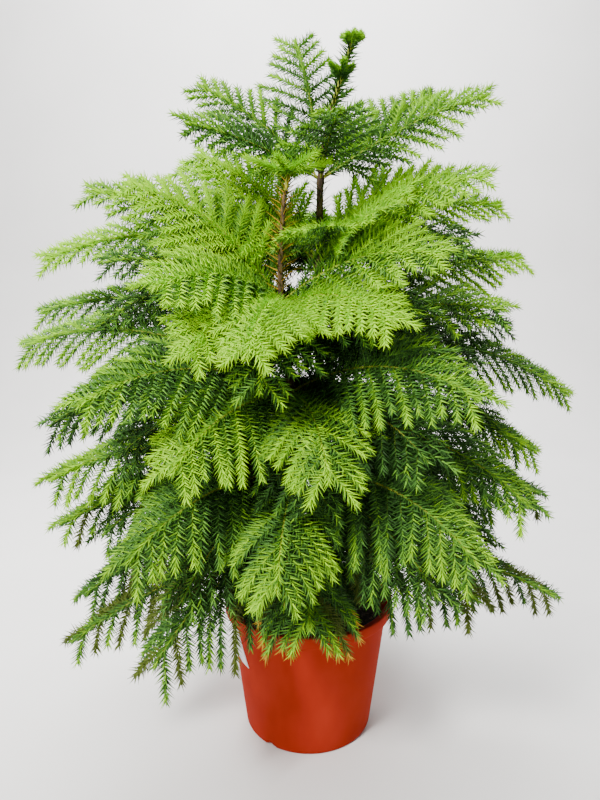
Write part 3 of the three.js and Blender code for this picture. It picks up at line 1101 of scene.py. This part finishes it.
def lathe_faces(rings: list[Points], start: Place, end: Place) -> tuple[Points, Faces]:
    """Skin over rings of equal count, closed by a point at each end.

    Args:
        rings: The rings in order, each counted anticlockwise from above where the skin rises outside.
        start: Point that closes the first ring.
        end: Point that closes the last ring.

    Returns:
        The corners and the faces.
    """
    sides = len(rings[0])
    points = np.vstack([*rings, [start], [end]])
    first, last = len(points) - 2, len(points) - 1
    faces: Faces = []
    for k in range(sides):
        n = (k + 1) % sides
        faces.append((first, n, k))
        for r in range(len(rings) - 1):
            a, b = r * sides, (r + 1) * sides
            faces.append((a + k, a + n, b + n, b + k))
        top = (len(rings) - 1) * sides
        faces.append((last, top + k, top + n))
    return points, faces


def slab_faces(face: Points, back: Points) -> tuple[Points, Faces]:
    """Thin closed slab between two grids of points.

    Args:
        face: Grid of the outer side, by row and column.
        back: Grid of the inner side.

    Returns:
        The corners and the faces.
    """
    rows, columns = face.shape[:2]
    count = rows * columns
    points = np.vstack([face.reshape(-1, 3), back.reshape(-1, 3)])
    faces: Faces = []
    for r in range(rows - 1):
        for c in range(columns - 1):
            a = r * columns + c
            quad = (a, a + 1, a + columns + 1, a + columns)
            faces.append(quad)
            faces.append(tuple(count + i for i in reversed(quad)))
    edge = list(range(columns))
    edge += [r * columns + columns - 1 for r in range(1, rows)]
    edge += [(rows - 1) * columns + c for c in range(columns - 2, -1, -1)]
    edge += [r * columns for r in range(rows - 2, 0, -1)]
    for i, a in enumerate(edge):
        b = edge[(i + 1) % len(edge)]
        faces.append((b, a, count + a, count + b))
    return points, faces


@dataclass
class Soil:
    """Dark potting mix, lumpy and strewn with bark chips.

    Attributes:
        pot: The pot that it fills.
        level: Height at the middle.
        crown: How much lower it lies at the wall.
        crown_from: Share of its radius from which it falls off.
        lump: Height of its lumps.
        lump_widths: Widths of its lumps and of its crumbs.
        calm: Share of the lumps that is lost at the wall, and the share of its radius where that begins.
        foot: Height of its underside.
        foot_ring: Radius of the inner ring of its underside.
        gaps: Gap to the wall at its surface and at its underside.
        heart: Radius of the smallest ring of its surface.
        rings: Rings of its surface.
        sides: Sides of the round.
        chips: Number of bark chips.
        chip_spread: Share of the surface that chips lie on.
        chip_lift: How high a chip's middle lies over the surface.
        chip_size: Half length, width and thickness of the largest chip.
        least_chip: Share of that size that the smallest chip has.
        chip_tilt: Most tilt of a chip, in radians.
        chip_turns: Turns of a chip for each turn round the pot.
    """

    pot: Pot
    level: float = 164.0
    crown: float = 4.0
    crown_from: float = 0.6
    lump: float = 2.6
    lump_widths: tuple[float, float] = (16.0, 6.0)
    calm: tuple[float, float] = (0.6, 0.9)
    foot: float = 20.0
    foot_ring: float = 60.0
    gaps: tuple[float, float] = (0.4, 0.6)
    heart: float = 3.0
    rings: int = 34
    sides: int = 96
    chips: int = 420
    chip_spread: float = 0.92
    chip_lift: float = 0.4
    chip_size: tuple[float, float, float] = (5.0, 2.6, 1.6)
    least_chip: float = 0.35
    chip_tilt: float = 0.5
    chip_turns: float = 7.0

    def height_at(self, points: Points) -> Points:
        """Height of the surface over points on the ground.

        Args:
            points: Places, of which only the first two coordinates count.

        Returns:
            One height for each point.
        """
        share = np.hypot(points[:, 0], points[:, 1]) / self.pot.inner_radius(self.level)
        ground = points * [1, 1, 0]
        lump_width, crumb_width = self.lump_widths
        lumps = ripple(ground, lump_width, LUMP_SEED) + 0.5 * ripple(ground, crumb_width, CRUMB_SEED)
        fall = self.crown * smooth(self.crown_from, 1.0, share)
        loss, calm_from = self.calm
        return self.level - fall + self.lump * lumps * (1 - loss * smooth(calm_from, 1.0, share))

    def build(self) -> list[bpy.types.Object]:
        """Makes the bed of soil and its chips.

        Returns:
            The finished pieces.
        """
        turn = np.arange(self.sides) * 2 * math.pi / self.sides
        top_gap, foot_gap = self.gaps
        edge = self.pot.inner_radius(self.level - self.crown) - top_gap
        foot_edge = self.pot.inner_radius(self.foot) - foot_gap
        rings = [round_points(radius, turn, self.foot) for radius in (self.foot_ring, foot_edge)]
        for radius in np.linspace(edge, self.heart, self.rings):
            ring = round_points(radius, turn, 0.0)
            ring[:, 2] = self.height_at(ring)
            rings.append(ring)
        points, faces = lathe_faces(rings, (0.0, 0.0, self.foot), (0.0, 0.0, self.level))
        bed = skin_piece("soil_bed", points, faces, SOIL_FINISH.material())
        return [settle(bed, ("soil",)), self.strew()]

    def strew(self) -> bpy.types.Object:
        """Strews bark chips over the soil.

        Returns:
            The finished chips.
        """
        rng = np.random.default_rng(CHIP_SEED)
        turn = rng.uniform(0, 2 * math.pi, self.chips)
        radius = np.sqrt(rng.uniform(0.0, self.chip_spread, self.chips)) * self.pot.inner_radius(self.level)
        places = round_points(radius, turn, 0.0)
        places[:, 2] = self.height_at(places) + self.chip_lift
        bulk = rng.uniform(self.least_chip, 1.0, (self.chips, 1)) * np.array(self.chip_size) * MM
        tilt = rng.uniform(-self.chip_tilt, self.chip_tilt, (self.chips, 3))
        tilt[:, 2] += turn * self.chip_turns
        sheet = NodeSheet("strew_chips")
        chip = sheet.add(
            "GeometryNodeMeshIcoSphere", Radius=1.0, Subdivisions=sheet.ask("Roundness", "NodeSocketInt")
        )
        turned = sheet.add("FunctionNodeEulerToRotation", Euler=sheet.attribute("tilt", "FLOAT_VECTOR"))
        sheet.stand(chip, turned)
        mesh = loose_points("chip_places", places, bulk=bulk, tilt=tilt)
        chips = sheet.grow("soil_chips", mesh, {"Roundness": 1, "Material": CHIP_FINISH.material()})
        return settle(chips)


@dataclass
class Frond:
    """A branch with its side shoots, by the rule that the solids follow.

    Attributes:
        index: Number of the branch, from the top of the rear stem.
        stem: The stem that it leaves.
        whorl: The whorl that it belongs to.
        azimuth: Azimuth at the stem.
        length: Length of the branch.
        rise: Rise at the stem.
        density: Share of the needles of a main branch.
        below: How far below the whorl it leaves the stem.
        dry_end: Share of each shoot where the needles have dried.
        painted_light: Painted light, how much lighter its needles are.
        axis_steps: Steps of its centre line.
        shoot_steps: Steps of a shoot's centre line.
        spacing: Distance between shoots on one side.
    """

    index: int
    stem: Stem
    whorl: Whorl
    azimuth: float
    length: float
    rise: float
    density: float = 1.0
    below: float = 0.0
    dry_end: float = 0.0
    painted_light: float = 0.0
    axis_steps: int = 24
    shoot_steps: int = 6
    spacing: float = 20.0

    def axis_line(self) -> Points:
        """Centre line of the branch, which rises, levels out and hangs towards its tip.

        Returns:
            The points, from the middle of the stem.
        """
        sweep = SWEEP * swing(self.index, 1, 0)
        points = [self.stem.centre(self.whorl.height - self.below)]
        for i in range(self.axis_steps):
            s = (i + 0.5) / self.axis_steps
            heading = heading_to(self.azimuth + sweep * s, self.rise - self.whorl.droop * s**DROOP_POWER)
            points.append(points[-1] + heading * self.length / self.axis_steps)
        return np.array(points)

    @property
    def leaf_start(self) -> float:
        """Share of the branch at which the shoots begin."""
        return self.whorl.bare / self.length

    def tone_at(self, spot: Points) -> float:
        """Tone of a spray: its frond's own tone, with painted light that rises with how far out it stands in
        the crown and painted shade deep inside.

        Args:
            spot: Place of the spray.

        Returns:
            The tone, mostly between 0 and 1.
        """
        own = self.whorl.tone + self.painted_light + FROND_TONE_PLAY * swing(self.index, 3, 1)
        # Painted light towards the skin of the crown and painted shade deep inside it, weaker higher up
        gain = lerp(*LIGHT_GAINS, smooth(*LIGHT_GAIN_HEIGHTS, spot[2]))
        return own + gain * (min(openness(spot), MOST_OPENNESS) - EVEN_OPENNESS)

    def shoot_line(
        self, start: Points, heading: Points, length: float, sag: float, drift: Points
    ) -> Points:
        """Centre line of a shoot, bent down step by step by its own weight.

        Args:
            start: Place on the branch.
            heading: Direction in which it leaves.
            length: Length of the shoot.
            sag: How far it bends.
            drift: How far it wanders sideways.

        Returns:
            The points.
        """
        points = [start]
        for _ in range(self.shoot_steps):
            heading = unit(heading + (drift - UP * sag) / self.shoot_steps)
            points.append(points[-1] + heading * length / self.shoot_steps)
        return np.array(points)

    def shoot_share(self, u: float) -> float:
        """Length of the shoots at share u of the leafy branch, as a share of the longest."""
        grown = lerp(SHOOT_FOOT_SHARE, 1.0, smooth(0.0, SHOOT_FULL_FROM, u))
        return grown * lerp(1.0, self.whorl.tip_share, smooth(SHOOT_FULL_FROM, SHOOT_LEAST_FROM, u))

    def twigs(self) -> Iterator[Twig]:
        """The axis of the frond, then its side shoots.

        Yields:
            Each leafy twig.
        """
        axis = self.axis_line()
        radii = (self.length * AXIS_RADIUS_SHARE, AXIS_TIP_RADIUS)
        tone = self.tone_at(axis[self.axis_steps // 2])
        yield Twig(
            axis, radii, LIGHT, tone, AXIS_HABIT,
            self.leaf_start, AXIS_FRESH_END, self.index * SPRAY_STEP, self.density,
        )
        count = int(self.length * (1 - self.leaf_start) / self.spacing + 0.5)
        for k in range(1, count):
            for side in (-1, 1):
                yield self.side_shoot(axis, k, k / count, side)

    def side_shoot(self, axis: Points, k: int, u: float, side: int) -> Twig:
        """One side shoot.

        Args:
            axis: Centre line of the branch.
            k: Number of the shoot along the branch.
            u: Share of the leafy branch at which it leaves.
            side: -1 or 1 for the side of the branch.

        Returns:
            The shoot.
        """
        start, heading = walk(axis, np.array(lerp(self.leaf_start, 1.0, u)))
        across = unit(np.cross(LIGHT, heading))
        normal = np.cross(heading, across)
        growth = chance(self.index, k, side + Draw.LENGTH)
        size = self.whorl.shoot * self.shoot_share(u) * (1 + SHOOT_LENGTH_PLAY * (growth - 0.5))
        turn = SHOOT_ANGLE_PLAY * swing(self.index, k, side + Draw.ANGLE)
        angle = math.radians(SHOOT_ANGLE - SHOOT_ANGLE_FALL * u + turn)
        lift = math.radians(self.whorl.lift)
        aside = side * math.cos(lift) * across + math.sin(lift) * normal
        direction = math.cos(angle) * heading + math.sin(angle) * aside
        drift = SHOOT_DRIFT * swing(self.index, k, side + Draw.DRIFT) * heading
        sag = self.whorl.sag * (SHOOT_LEAST_SAG + SHOOT_SAG_PLAY * growth)
        line = self.shoot_line(start, direction, size, sag, drift)
        tone = self.tone_at(line[-2]) + SPRAY_TONE_PLAY * swing(self.index, k, side + Draw.TONE)
        if chance(self.index, k, side + Draw.FADING) < self.whorl.faded:
            tone = OLIVE_TONE
        spray = self.index * SPRAY_STEP + 2 * k + (side > 0)
        return Twig(
            line, SHOOT_RADII, normal, tone, SHOOT_HABIT,
            SHOOT_BARE, SHOOT_FRESH_END, spray, self.density, self.dry_end,
        )


@dataclass
class Crown:
    """Foliage of one stem: its wood, its fronds and its tip.

    Attributes:
        stem: The stem.
        whorls: Its whorls from the top down.
        pot: The pot that the low shoots keep clear of.
        first: Number of its first branch.
        tufts: Its tufts of young shoots, of which the first is its tip.
        clad: Heights between which long needles stay on the stem, with their habit and freshness.
        inward: Azimuths of the short branches on the side of the other stem.
        green_from: Height above which the stem is still green.
        bark_sides: Sides of the stem's mesh.
        room: Space that a shoot keeps from the pot.
        needles: Foot, heading, length and width of the needles of each shade, twig by twig.
        tubes: Twigs of each kind.
    """

    stem: Stem
    whorls: tuple[Whorl, ...]
    pot: Pot
    first: int
    tufts: tuple[Tuft, ...]
    clad: tuple[tuple[float, float, NeedleHabit, float], ...]
    inward: tuple[float, ...]
    green_from: float
    bark_sides: int = 26
    room: float = 9.0
    needles: dict[Shade, list[Points]] = field(default_factory=dict)
    tubes: dict[TwigKind, list[Twig]] = field(default_factory=dict)

    def fronds(self) -> Iterator[tuple[str, Frond]]:
        """The main fronds of this stem, which have solids.

        Yields:
            The name of the frond's solid, and the frond.
        """
        index = self.first
        for tier, whorl in enumerate(self.whorls, 1):
            for i, branch in enumerate(whorl.branches, 1):
                dry_end = DRY_END if i == whorl.dry_branch else 0.0
                # Painted light on the bright fronds
                painted_light = BRIGHT_PAINTED_LIGHT if i in whorl.bright else 0.0
                frond = Frond(index, self.stem, whorl, *branch, dry_end=dry_end, painted_light=painted_light)
                yield f"{self.stem.name}_tier{tier}_frond{i}", frond
                index += 1

    def fine_fronds(self) -> Iterator[Frond]:
        """Finer fronds: in the shade under the main ones, between them, and short ones between the stems.

        Yields:
            Each frond.
        """
        index = FINE_STEP * self.first
        for whorl in self.whorls:
            # Painted shade: the fronds under the main ones are darker
            under = replace(whorl, tone=whorl.tone - UNDER_SHADE)
            for azimuth, length, rise in whorl.branches if whorl.layered else ():
                turned = azimuth + UNDER_TURN * swing(index, 2, 4)
                yield Frond(
                    index, self.stem, under, turned, length * UNDER_LENGTH, rise - UNDER_FALL,
                    density=FINE_DENSITY, below=UNDER_BELOW,
                )
                index += 1
            for branch in whorl.between:
                # Painted light on the fronds between the main ones
                yield Frond(index, self.stem, whorl, *branch, below=BETWEEN_BELOW, painted_light=BETWEEN_PAINTED_LIGHT)
                index += 1
            # Painted shade: the inner fronds are darker; they also droop more and have shorter shoots
            inner = replace(
                whorl, tone=whorl.tone - INNER_SHADE, droop=whorl.droop + INNER_DROOP,
                shoot=whorl.shoot * INNER_SHOOT, bare=INNER_BARE,
            )
            for azimuth in self.inward if whorl.crowded else ():
                length = lerp(*INNER_LENGTHS, chance(index, 5, 2))
                yield Frond(
                    index, self.stem, inner, azimuth, length, INNER_RISE,
                    density=FINE_DENSITY, below=INNER_BELOW,
                )
                index += 1

    def trim(self, twig: Twig) -> Twig | None:
        """Cuts a twig off before it runs into the pot or the ground.

        Args:
            twig: The twig.

        Returns:
            What is left of it, or nothing if too little is left.
        """
        clear = self.pot.keeps_out(twig.line, self.room)
        if clear.all():
            return twig
        kept = int(np.argmin(clear))
        if kept < LEAST_POINTS:
            return None
        twig.line = twig.line[:kept]
        return twig

    def leaf_out(self, twig: Twig) -> None:
        """Stands needles round a twig and sorts them by shade.

        Args:
            twig: The twig.
        """
        habit = twig.habit
        rng = np.random.default_rng(NEEDLE_SEED * self.first + twig.spray)
        count = int(twig.length * (1 - twig.bare) * habit.per_mm * twig.density)
        share = (np.arange(count) + rng.uniform(*NEEDLE_PLACE_PLAY, count)) / max(count, 1)
        t = twig.bare + (1 - twig.bare) * share
        foot, ahead = walk(twig.line, t)
        across = unit(np.cross(twig.face, ahead))
        face = np.cross(ahead, across)
        turn = GOLDEN_TURN * np.arange(count) + rng.uniform(0, 2 * math.pi)
        out = unit(np.cos(turn)[:, None] * across + habit.flat * np.sin(turn)[:, None] * face)
        lean = lerp(*habit.spread, share**2) + rng.normal(0.0, NEEDLE_LEAN_PLAY, count)
        spread = np.radians(lean)[:, None]
        heading = np.cos(spread) * ahead + np.sin(spread) * out
        foot = foot + out * (lerp(*twig.radius, t) - NEEDLE_SUNK)[:, None]
        reach = habit.length * (1 - NEEDLE_END_LOSS * share**4) * rng.uniform(*NEEDLE_LENGTH_PLAY, count)
        # Painted shade at the foot of the twig, fresher needles at its end, painted light on the upper side
        # and painted shade on the under side
        shaded = FOOT_SHADE * (1 - smooth(0.0, FOOT_SHADE_TO, share))
        tone = twig.tone + twig.fresh_end * smooth(FRESH_END_FROM, 1.0, share) - shaded
        tone += UPPER_PAINTED_LIGHT * np.sin(turn) + rng.normal(0.0, NEEDLE_TONE_PLAY, count)
        tone[share > 1 - twig.dry_end] = DRY_TONE
        rows = np.column_stack([foot, heading, reach, np.full(count, habit.width)])
        shades = list(Shade)
        starts = np.array([shade.value.from_tone for shade in shades])
        chosen = np.searchsorted(starts, tone, side="right") - 1
        for i, shade in enumerate(shades):
            if (chosen == i).any():
                self.needles.setdefault(shade, []).append(rows[chosen == i])

    def add(self, kind: TwigKind, twig: Twig) -> None:
        """Keeps a twig for the tubes of one kind and stands its needles."""
        self.tubes.setdefault(kind, []).append(twig)
        self.leaf_out(twig)

    def grow(self) -> None:
        """Grows every twig of the crown and its needles."""
        for frond in (*(frond for _, frond in self.fronds()), *self.fine_fronds()):
            axis, *shoots = frond.twigs()
            self.add(TwigKind.AXES, axis)
            for shoot in filter(None, map(self.trim, shoots)):
                # Shoots whose tone, freshness with painted light and shade, is high take the lighter twig
                # finish
                self.add(TwigKind.YOUNG_SHOOTS if shoot.tone > YOUNG_LIT_FROM else TwigKind.OLD_SHOOTS, shoot)
        for number, tuft in enumerate(self.tufts):
            for twig in self.tuft_twigs(tuft, TUFT_SPRAY + SPRAY_STEP * number):
                self.add(TwigKind.YOUNG_SHOOTS, twig)
        leader = self.stem.stretch(self.green_from, self.stem.top, STRETCH_STEPS)
        girth = (self.stem.radius(self.green_from) + GREEN_SKIN, self.stem.tip_radius + GREEN_SKIN)
        self.tubes[TwigKind.AXES].append(Twig(leader, girth, LIGHT, 0.0, LEADER_HABIT))
        for number, (low, high, habit, tone) in enumerate(self.clad):
            line = self.stem.stretch(low, high, STRETCH_STEPS)
            radius = (self.stem.radius(low), self.stem.radius(high))
            self.leaf_out(Twig(line, radius, -LIGHT, tone, habit, fresh_end=0.0, spray=CLAD_SPRAY + number))

    def tuft_twigs(self, tuft: Tuft, spray: int) -> Iterator[Twig]:
        """Young shoots round the stem.

        Args:
            tuft: The tuft.
            spray: Number that the chances of its twigs start from.

        Yields:
            Each shoot, then the bud in their middle.
        """
        top = self.stem.top - tuft.below
        foot = self.stem.centre(top)
        lean = unit(foot - self.stem.centre(top - LEAN_SPAN))
        start = foot + lean * tuft.core * 0.5
        for i in range(tuft.shoots):
            size = tuft.length * lerp(*TUFT_LENGTH_PLAY, chance(tuft.shoots, i, tuft.length))
            heading = heading_to(tuft.phase + 360.0 / tuft.shoots * i, tuft.rise)
            line = start + heading * np.linspace(0, size, TUFT_POINTS)[:, None]
            yield Twig(line, TUFT_RADII, UP, tuft.tone, tuft.habit, 0.0, SHOOT_FRESH_END, spray + i)
        if tuft.core:
            line = foot + lean * np.linspace(-BUD_SUNK, tuft.core, BUD_POINTS)[:, None]
            radii = (self.stem.tip_radius, BUD_RADIUS)
            yield Twig(line, radii, LIGHT, tuft.tone, tuft.habit, BUD_BARE, BUD_FRESH_END, spray + BUD_SPRAY)

    def build(self) -> list[bpy.types.Object]:
        """Makes the wood, the twigs and the needles.

        Returns:
            The finished pieces.
        """
        self.grow()
        fronds = tuple(name for name, _ in self.fronds())
        return [
            self.wood(),
            settle(self.tube_piece(TwigKind.AXES), fronds),
            settle(self.tube_piece(TwigKind.OLD_SHOOTS)),
            settle(self.tube_piece(TwigKind.YOUNG_SHOOTS), (f"{self.stem.name}_tip",)),
            *self.needle_pieces(),
        ]

    def tube_piece(self, kind: TwigKind) -> bpy.types.Object:
        """Tubes along the twigs of one kind.

        Args:
            kind: Kind of twig.

        Returns:
            The piece.
        """
        finish, sides = kind.value
        twigs = self.tubes[kind]
        points = np.vstack([twig.line for twig in twigs])
        thick = [lerp(*twig.radius, np.linspace(0, 1, len(twig.line))) for twig in twigs]
        mesh = loose_points("twig_lines", points, thick=np.concatenate(thick) * MM)
        ends = np.cumsum([len(twig.line) for twig in twigs]) - 1
        starts = np.delete(np.arange(len(points)), ends)
        mesh.edges.add(len(starts))
        mesh.edges.foreach_set("vertices", np.column_stack([starts, starts + 1]).ravel())
        sheet = NodeSheet(f"{kind.name.lower()}_tubes")
        curve = sheet.add("GeometryNodeMeshToCurve", Mesh=sheet.geometry)
        section = sheet.add(
            "GeometryNodeCurvePrimitiveCircle", Resolution=sheet.ask("Sides", "NodeSocketInt"), Radius=1.0
        )
        tube = sheet.add(
            "GeometryNodeCurveToMesh",
            Curve=curve.outputs["Curve"],
            Profile_Curve=section.outputs["Curve"],
            Scale=sheet.attribute("thick", "FLOAT"),
            Fill_Caps=True,
        )
        sheet.close(tube.outputs["Mesh"])
        values = {"Sides": sides, "Material": finish.material()}
        return sheet.grow(f"{self.stem.name}_{kind.name.lower()}", mesh, values)

    def needle_pieces(self, most: int = 46000) -> list[bpy.types.Object]:
        """Joined needles, one piece or more for each shade.

        Args:
            most: Most needles in one piece.

        Returns:
            The finished pieces.
        """
        sheet = NodeSheet(f"{self.stem.name}_needles")
        spike = sheet.add(
            "GeometryNodeMeshCone",
            Vertices=sheet.ask("Sides", "NodeSocketInt"),
            Radius_Top=0.0,
            Radius_Bottom=1.0,
            Depth=1.0,
        )
        turn = sheet.add(
            "FunctionNodeAlignRotationToVector",
            {"axis": "Z"},
            Vector=sheet.attribute("heading", "FLOAT_VECTOR"),
        )
        sheet.stand(spike, turn)
        pieces = []
        for shade, stacks in self.needles.items():
            kind = f"{self.stem.name}_needles_{shade.name.lower()}"
            material = shade.value.material(f"{self.stem.name}_{shade.name.lower()}_needle")
            rows = np.vstack(stacks)
            parts = math.ceil(len(rows) / most)
            for i, part in enumerate(np.array_split(rows, parts), 1):
                foot, heading, reach, width = part[:, :3], part[:, 3:6], part[:, 6], part[:, 7]
                girth = width * NEEDLE_FOOT_SHARE
                bulk = np.column_stack([girth, girth, reach]) * MM
                mesh = loose_points("needle_feet", foot, heading=heading, bulk=bulk)
                values = {"Sides": NEEDLE_SIDES, "Material": material}
                piece = sheet.grow(kind if parts == 1 else f"{kind}_{i}", mesh, values)
                pieces.append(settle(piece))
        return pieces

    def wood(self) -> bpy.types.Object:
        """Stem and bare boughs with the relief of their bark.

        Returns:
            The finished piece.
        """
        heights = np.arange(self.stem.foot - STEM_SUNK, self.stem.top, BARK_STEP)
        line = np.array([self.stem.centre(z) for z in heights])
        apart = (heights[:, None] - [whorl.height for whorl in self.whorls]) / WHORL_SWELL_WIDTH
        swell = np.exp(-(apart**2)).sum(axis=1)
        radius = np.array([self.stem.radius(z) for z in heights]) + WHORL_SWELL * swell
        green = smooth(self.green_from - GREEN_FADE, self.green_from + GREEN_FADE, heights)
        radius *= 1 - GREEN_THINNER * green
        skins = [self.bark_skin(line, radius, self.bark_sides, STEM_RELIEF)]
        nodes = [f"{self.stem.name}_stem"]
        for name, frond in self.fronds():
            if frond.whorl.bough:
                along = np.linspace(0.0, frond.leaf_start + BOUGH_OVERLAP, BOUGH_RINGS)
                centre, _ = walk(frond.axis_line(), along)
                girth = lerp(*BOUGH_RADII, np.linspace(0, 1, BOUGH_RINGS))
                skins.append(self.bark_skin(centre, girth, BOUGH_SIDES, BOUGH_RELIEF))
                nodes.append(name.replace("frond", "bough"))
        points: list[Points] = []
        faces: Faces = []
        for corners, sides in skins:
            first = sum(map(len, points))
            faces += [tuple(first + i for i in face) for face in sides]
            points.append(corners)
        wood = skin_piece(f"{self.stem.name}_wood", np.vstack(points), faces, BARK_FINISH.material())
        return settle(wood, tuple(nodes))

    def bark_skin(
        self, line: Points, radius: Points, sides: int, relief: float
    ) -> tuple[Points, Faces]:
        """Closed skin round a limb, with old leaf bases in crossing spirals.

        Args:
            line: Centre line of the limb.
            radius: Radius at each point.
            sides: Sides of a ring.
            relief: Height of the relief.

        Returns:
            The corners and the faces.
        """
        ahead = unit(np.gradient(line, axis=0))
        across = unit(np.cross(BARK_FRONT, ahead))
        face = np.cross(ahead, across)
        turn = np.arange(sides) * 2 * math.pi / sides
        run = np.concatenate([[0.0], np.cumsum(np.linalg.norm(np.diff(line, axis=0), axis=1))])
        rings = []
        for i in range(len(line)):
            right = np.cos(RIGHT_SPIRALS * turn + RIGHT_CLIMB * run[i])
            bases = right * np.cos(LEFT_SPIRALS * turn - LEFT_CLIMB * run[i])
            out = np.cos(turn)[:, None] * across[i] + np.sin(turn)[:, None] * face[i]
            ring = line[i] + out * radius[i]
            rough = ripple(ring, ROUGH_WIDTH, BARK_SEED)
            rings.append(ring + out * (relief * (LEAF_BASE_SHARE * bases + ROUGH_SHARE * rough))[:, None])
        return lathe_faces(rings, line[0], line[-1])


@dataclass(frozen=True)
class Lamp:
    """A square soft light.

    Attributes:
        name: Name of the light.
        at: Its place, in metres.
        towards: The place that it looks at.
        size: Its side.
        power: Its power in watts.
        colour: Its colour.
    """

    name: str
    at: Place
    towards: Place
    size: float
    power: float
    colour: Colour

    def hang(self) -> None:
        """Adds the light to the scene."""
        lamp = bpy.data.lights.new(self.name, "AREA")
        lamp.size = self.size
        lamp.energy = self.power
        lamp.color = self.colour
        holder = bpy.data.objects.new(self.name, lamp)
        holder.location = self.at
        view = Vector(self.towards) - Vector(self.at)
        holder.rotation_euler = view.to_track_quat("-Z", "Y").to_euler()
        bpy.context.scene.collection.objects.link(holder)


LAMPS = (
    Lamp("key", (-1.1, -1.45, 1.9), (0.0, 0.0, 0.5), 0.45, 112.0, (1.0, 0.98, 0.94)),
    Lamp("fill", (1.4, -1.0, 2.0), (0.0, 0.0, 0.7), 1.0, 3.0, (0.95, 0.97, 1.0)),
    Lamp("back", (-0.3, 1.1, 2.1), (0.0, 0.0, 0.6), 1.2, 40.0, (1.0, 0.98, 0.95)),
    Lamp("backdrop", (0.0, 0.9, 2.6), (0.0, 2.4, 0.9), 2.4, 180.0, (1.0, 1.0, 1.0)),
)


@dataclass
class Studio:
    """Pale floor with a sweep behind, soft lights and the camera.

    Attributes:
        lens: Focal length, for a frame with the long side below.
        long_side: Long side of the frame.
        nearest: Nearest distance that the camera shows, in metres.
        eye: Place of the camera, in metres.
        pitch: Degrees that the camera looks down.
        sky: Colour of the light from all round.
        sky_strength: Strength of that light.
        floor_drop: How far the floor lies under the pot.
        floor_near: Where the floor begins.
        bend_from: Where the floor begins to turn up.
        bend_radius: Radius of that bend.
        bend_angles: First and last angle of the bend's points.
        bend_points: Number of its points.
        wall_top: Height of the wall.
        half_width: Half of the floor's width.
    """

    lens: float = 27.0
    long_side: float = 36.0
    nearest: float = 0.02
    eye: Place = (-0.0125, -0.855, 0.620)
    pitch: float = 8.6
    sky: Colour = (0.95, 0.97, 1.0)
    sky_strength: float = 0.20
    floor_drop: float = 0.4
    floor_near: float = -4000.0
    bend_from: float = 1500.0
    bend_radius: float = 900.0
    bend_angles: tuple[float, float] = (0.1, math.pi / 2)
    bend_points: int = 14
    wall_top: float = 5000.0
    half_width: float = 5000.0

    def build(self) -> None:
        """Sets up the floor, the lights and the camera."""
        self.sweep()
        for lamp in LAMPS:
            lamp.hang()
        world = bpy.data.worlds.new("studio")
        world.use_nodes = True
        background = world.node_tree.nodes["Background"]
        background.inputs["Color"].default_value = (*self.sky, 1.0)
        background.inputs["Strength"].default_value = self.sky_strength
        bpy.context.scene.world = world
        camera = bpy.data.cameras.new("camera")
        camera.lens = self.lens
        camera.sensor_width = self.long_side
        camera.clip_start = self.nearest
        holder = bpy.data.objects.new("camera", camera)
        holder.location = self.eye
        holder.rotation_euler = (math.radians(90.0 - self.pitch), 0.0, 0.0)
        bpy.context.scene.collection.objects.link(holder)
        bpy.context.scene.camera = holder

    def sweep(self) -> None:
        """Makes the floor, which turns up into a wall far behind."""
        start, bend = self.bend_from, self.bend_radius
        run = [(self.floor_near, 0.0), (start, 0.0)]
        for angle in np.linspace(*self.bend_angles, self.bend_points):
            run.append((start + bend * math.sin(angle), bend - bend * math.cos(angle)))
        run.append((start + bend, self.wall_top))
        sides = (-self.half_width, self.half_width)
        points = np.array([(x, y, z - self.floor_drop) for y, z in run for x in sides])
        faces = [(2 * i, 2 * i + 1, 2 * i + 3, 2 * i + 2) for i in range(len(run) - 1)]
        floor = skin_piece("studio_floor", points, faces, FLOOR_FINISH.material())


def report(pieces: list[bpy.types.Object]) -> None:
    """Logs each finished piece with the number of its corners and faces."""
    for piece in pieces:
        log.info("%s: %d corners, %d faces", piece.name, len(piece.data.vertices), len(piece.data.polygons))


def main() -> None:
    """Builds the pot, the soil and the two crowns, reports their pieces, and then builds the studio."""
    logging.basicConfig(level=logging.INFO, format="%(message)s")
    pot = Pot()
    report(pot.build())
    report(Soil(pot).build())
    rear = Crown(
        REAR, REAR_WHORLS, pot, first=1, tufts=REAR_TUFTS,
        clad=(
            (880.0, 977.0, LEADER_HABIT, 0.40),
            (802.0, 900.0, STRAW_HABIT, OLIVE_TONE),
            (470.0, 798.0, STRAW_HABIT, 0.1),
        ),
        inward=(222.0, 248.0, 274.0, 300.0, 326.0), green_from=900.0,
    )
    report(rear.build())
    fore = Crown(
        FORE, FORE_WHORLS, pot, first=31, tufts=FORE_TUFTS,
        clad=((640.0, 785.0, STRAW_HABIT, DRY_TONE), (640.0, 791.0, STRAW_HABIT, OLIVE_TONE)),
        inward=(12.0, 46.0, 80.0, 114.0, 148.0), green_from=772.0,
    )
    report(fore.build())
    Studio().build()


if __name__ == "__main__":
    main()
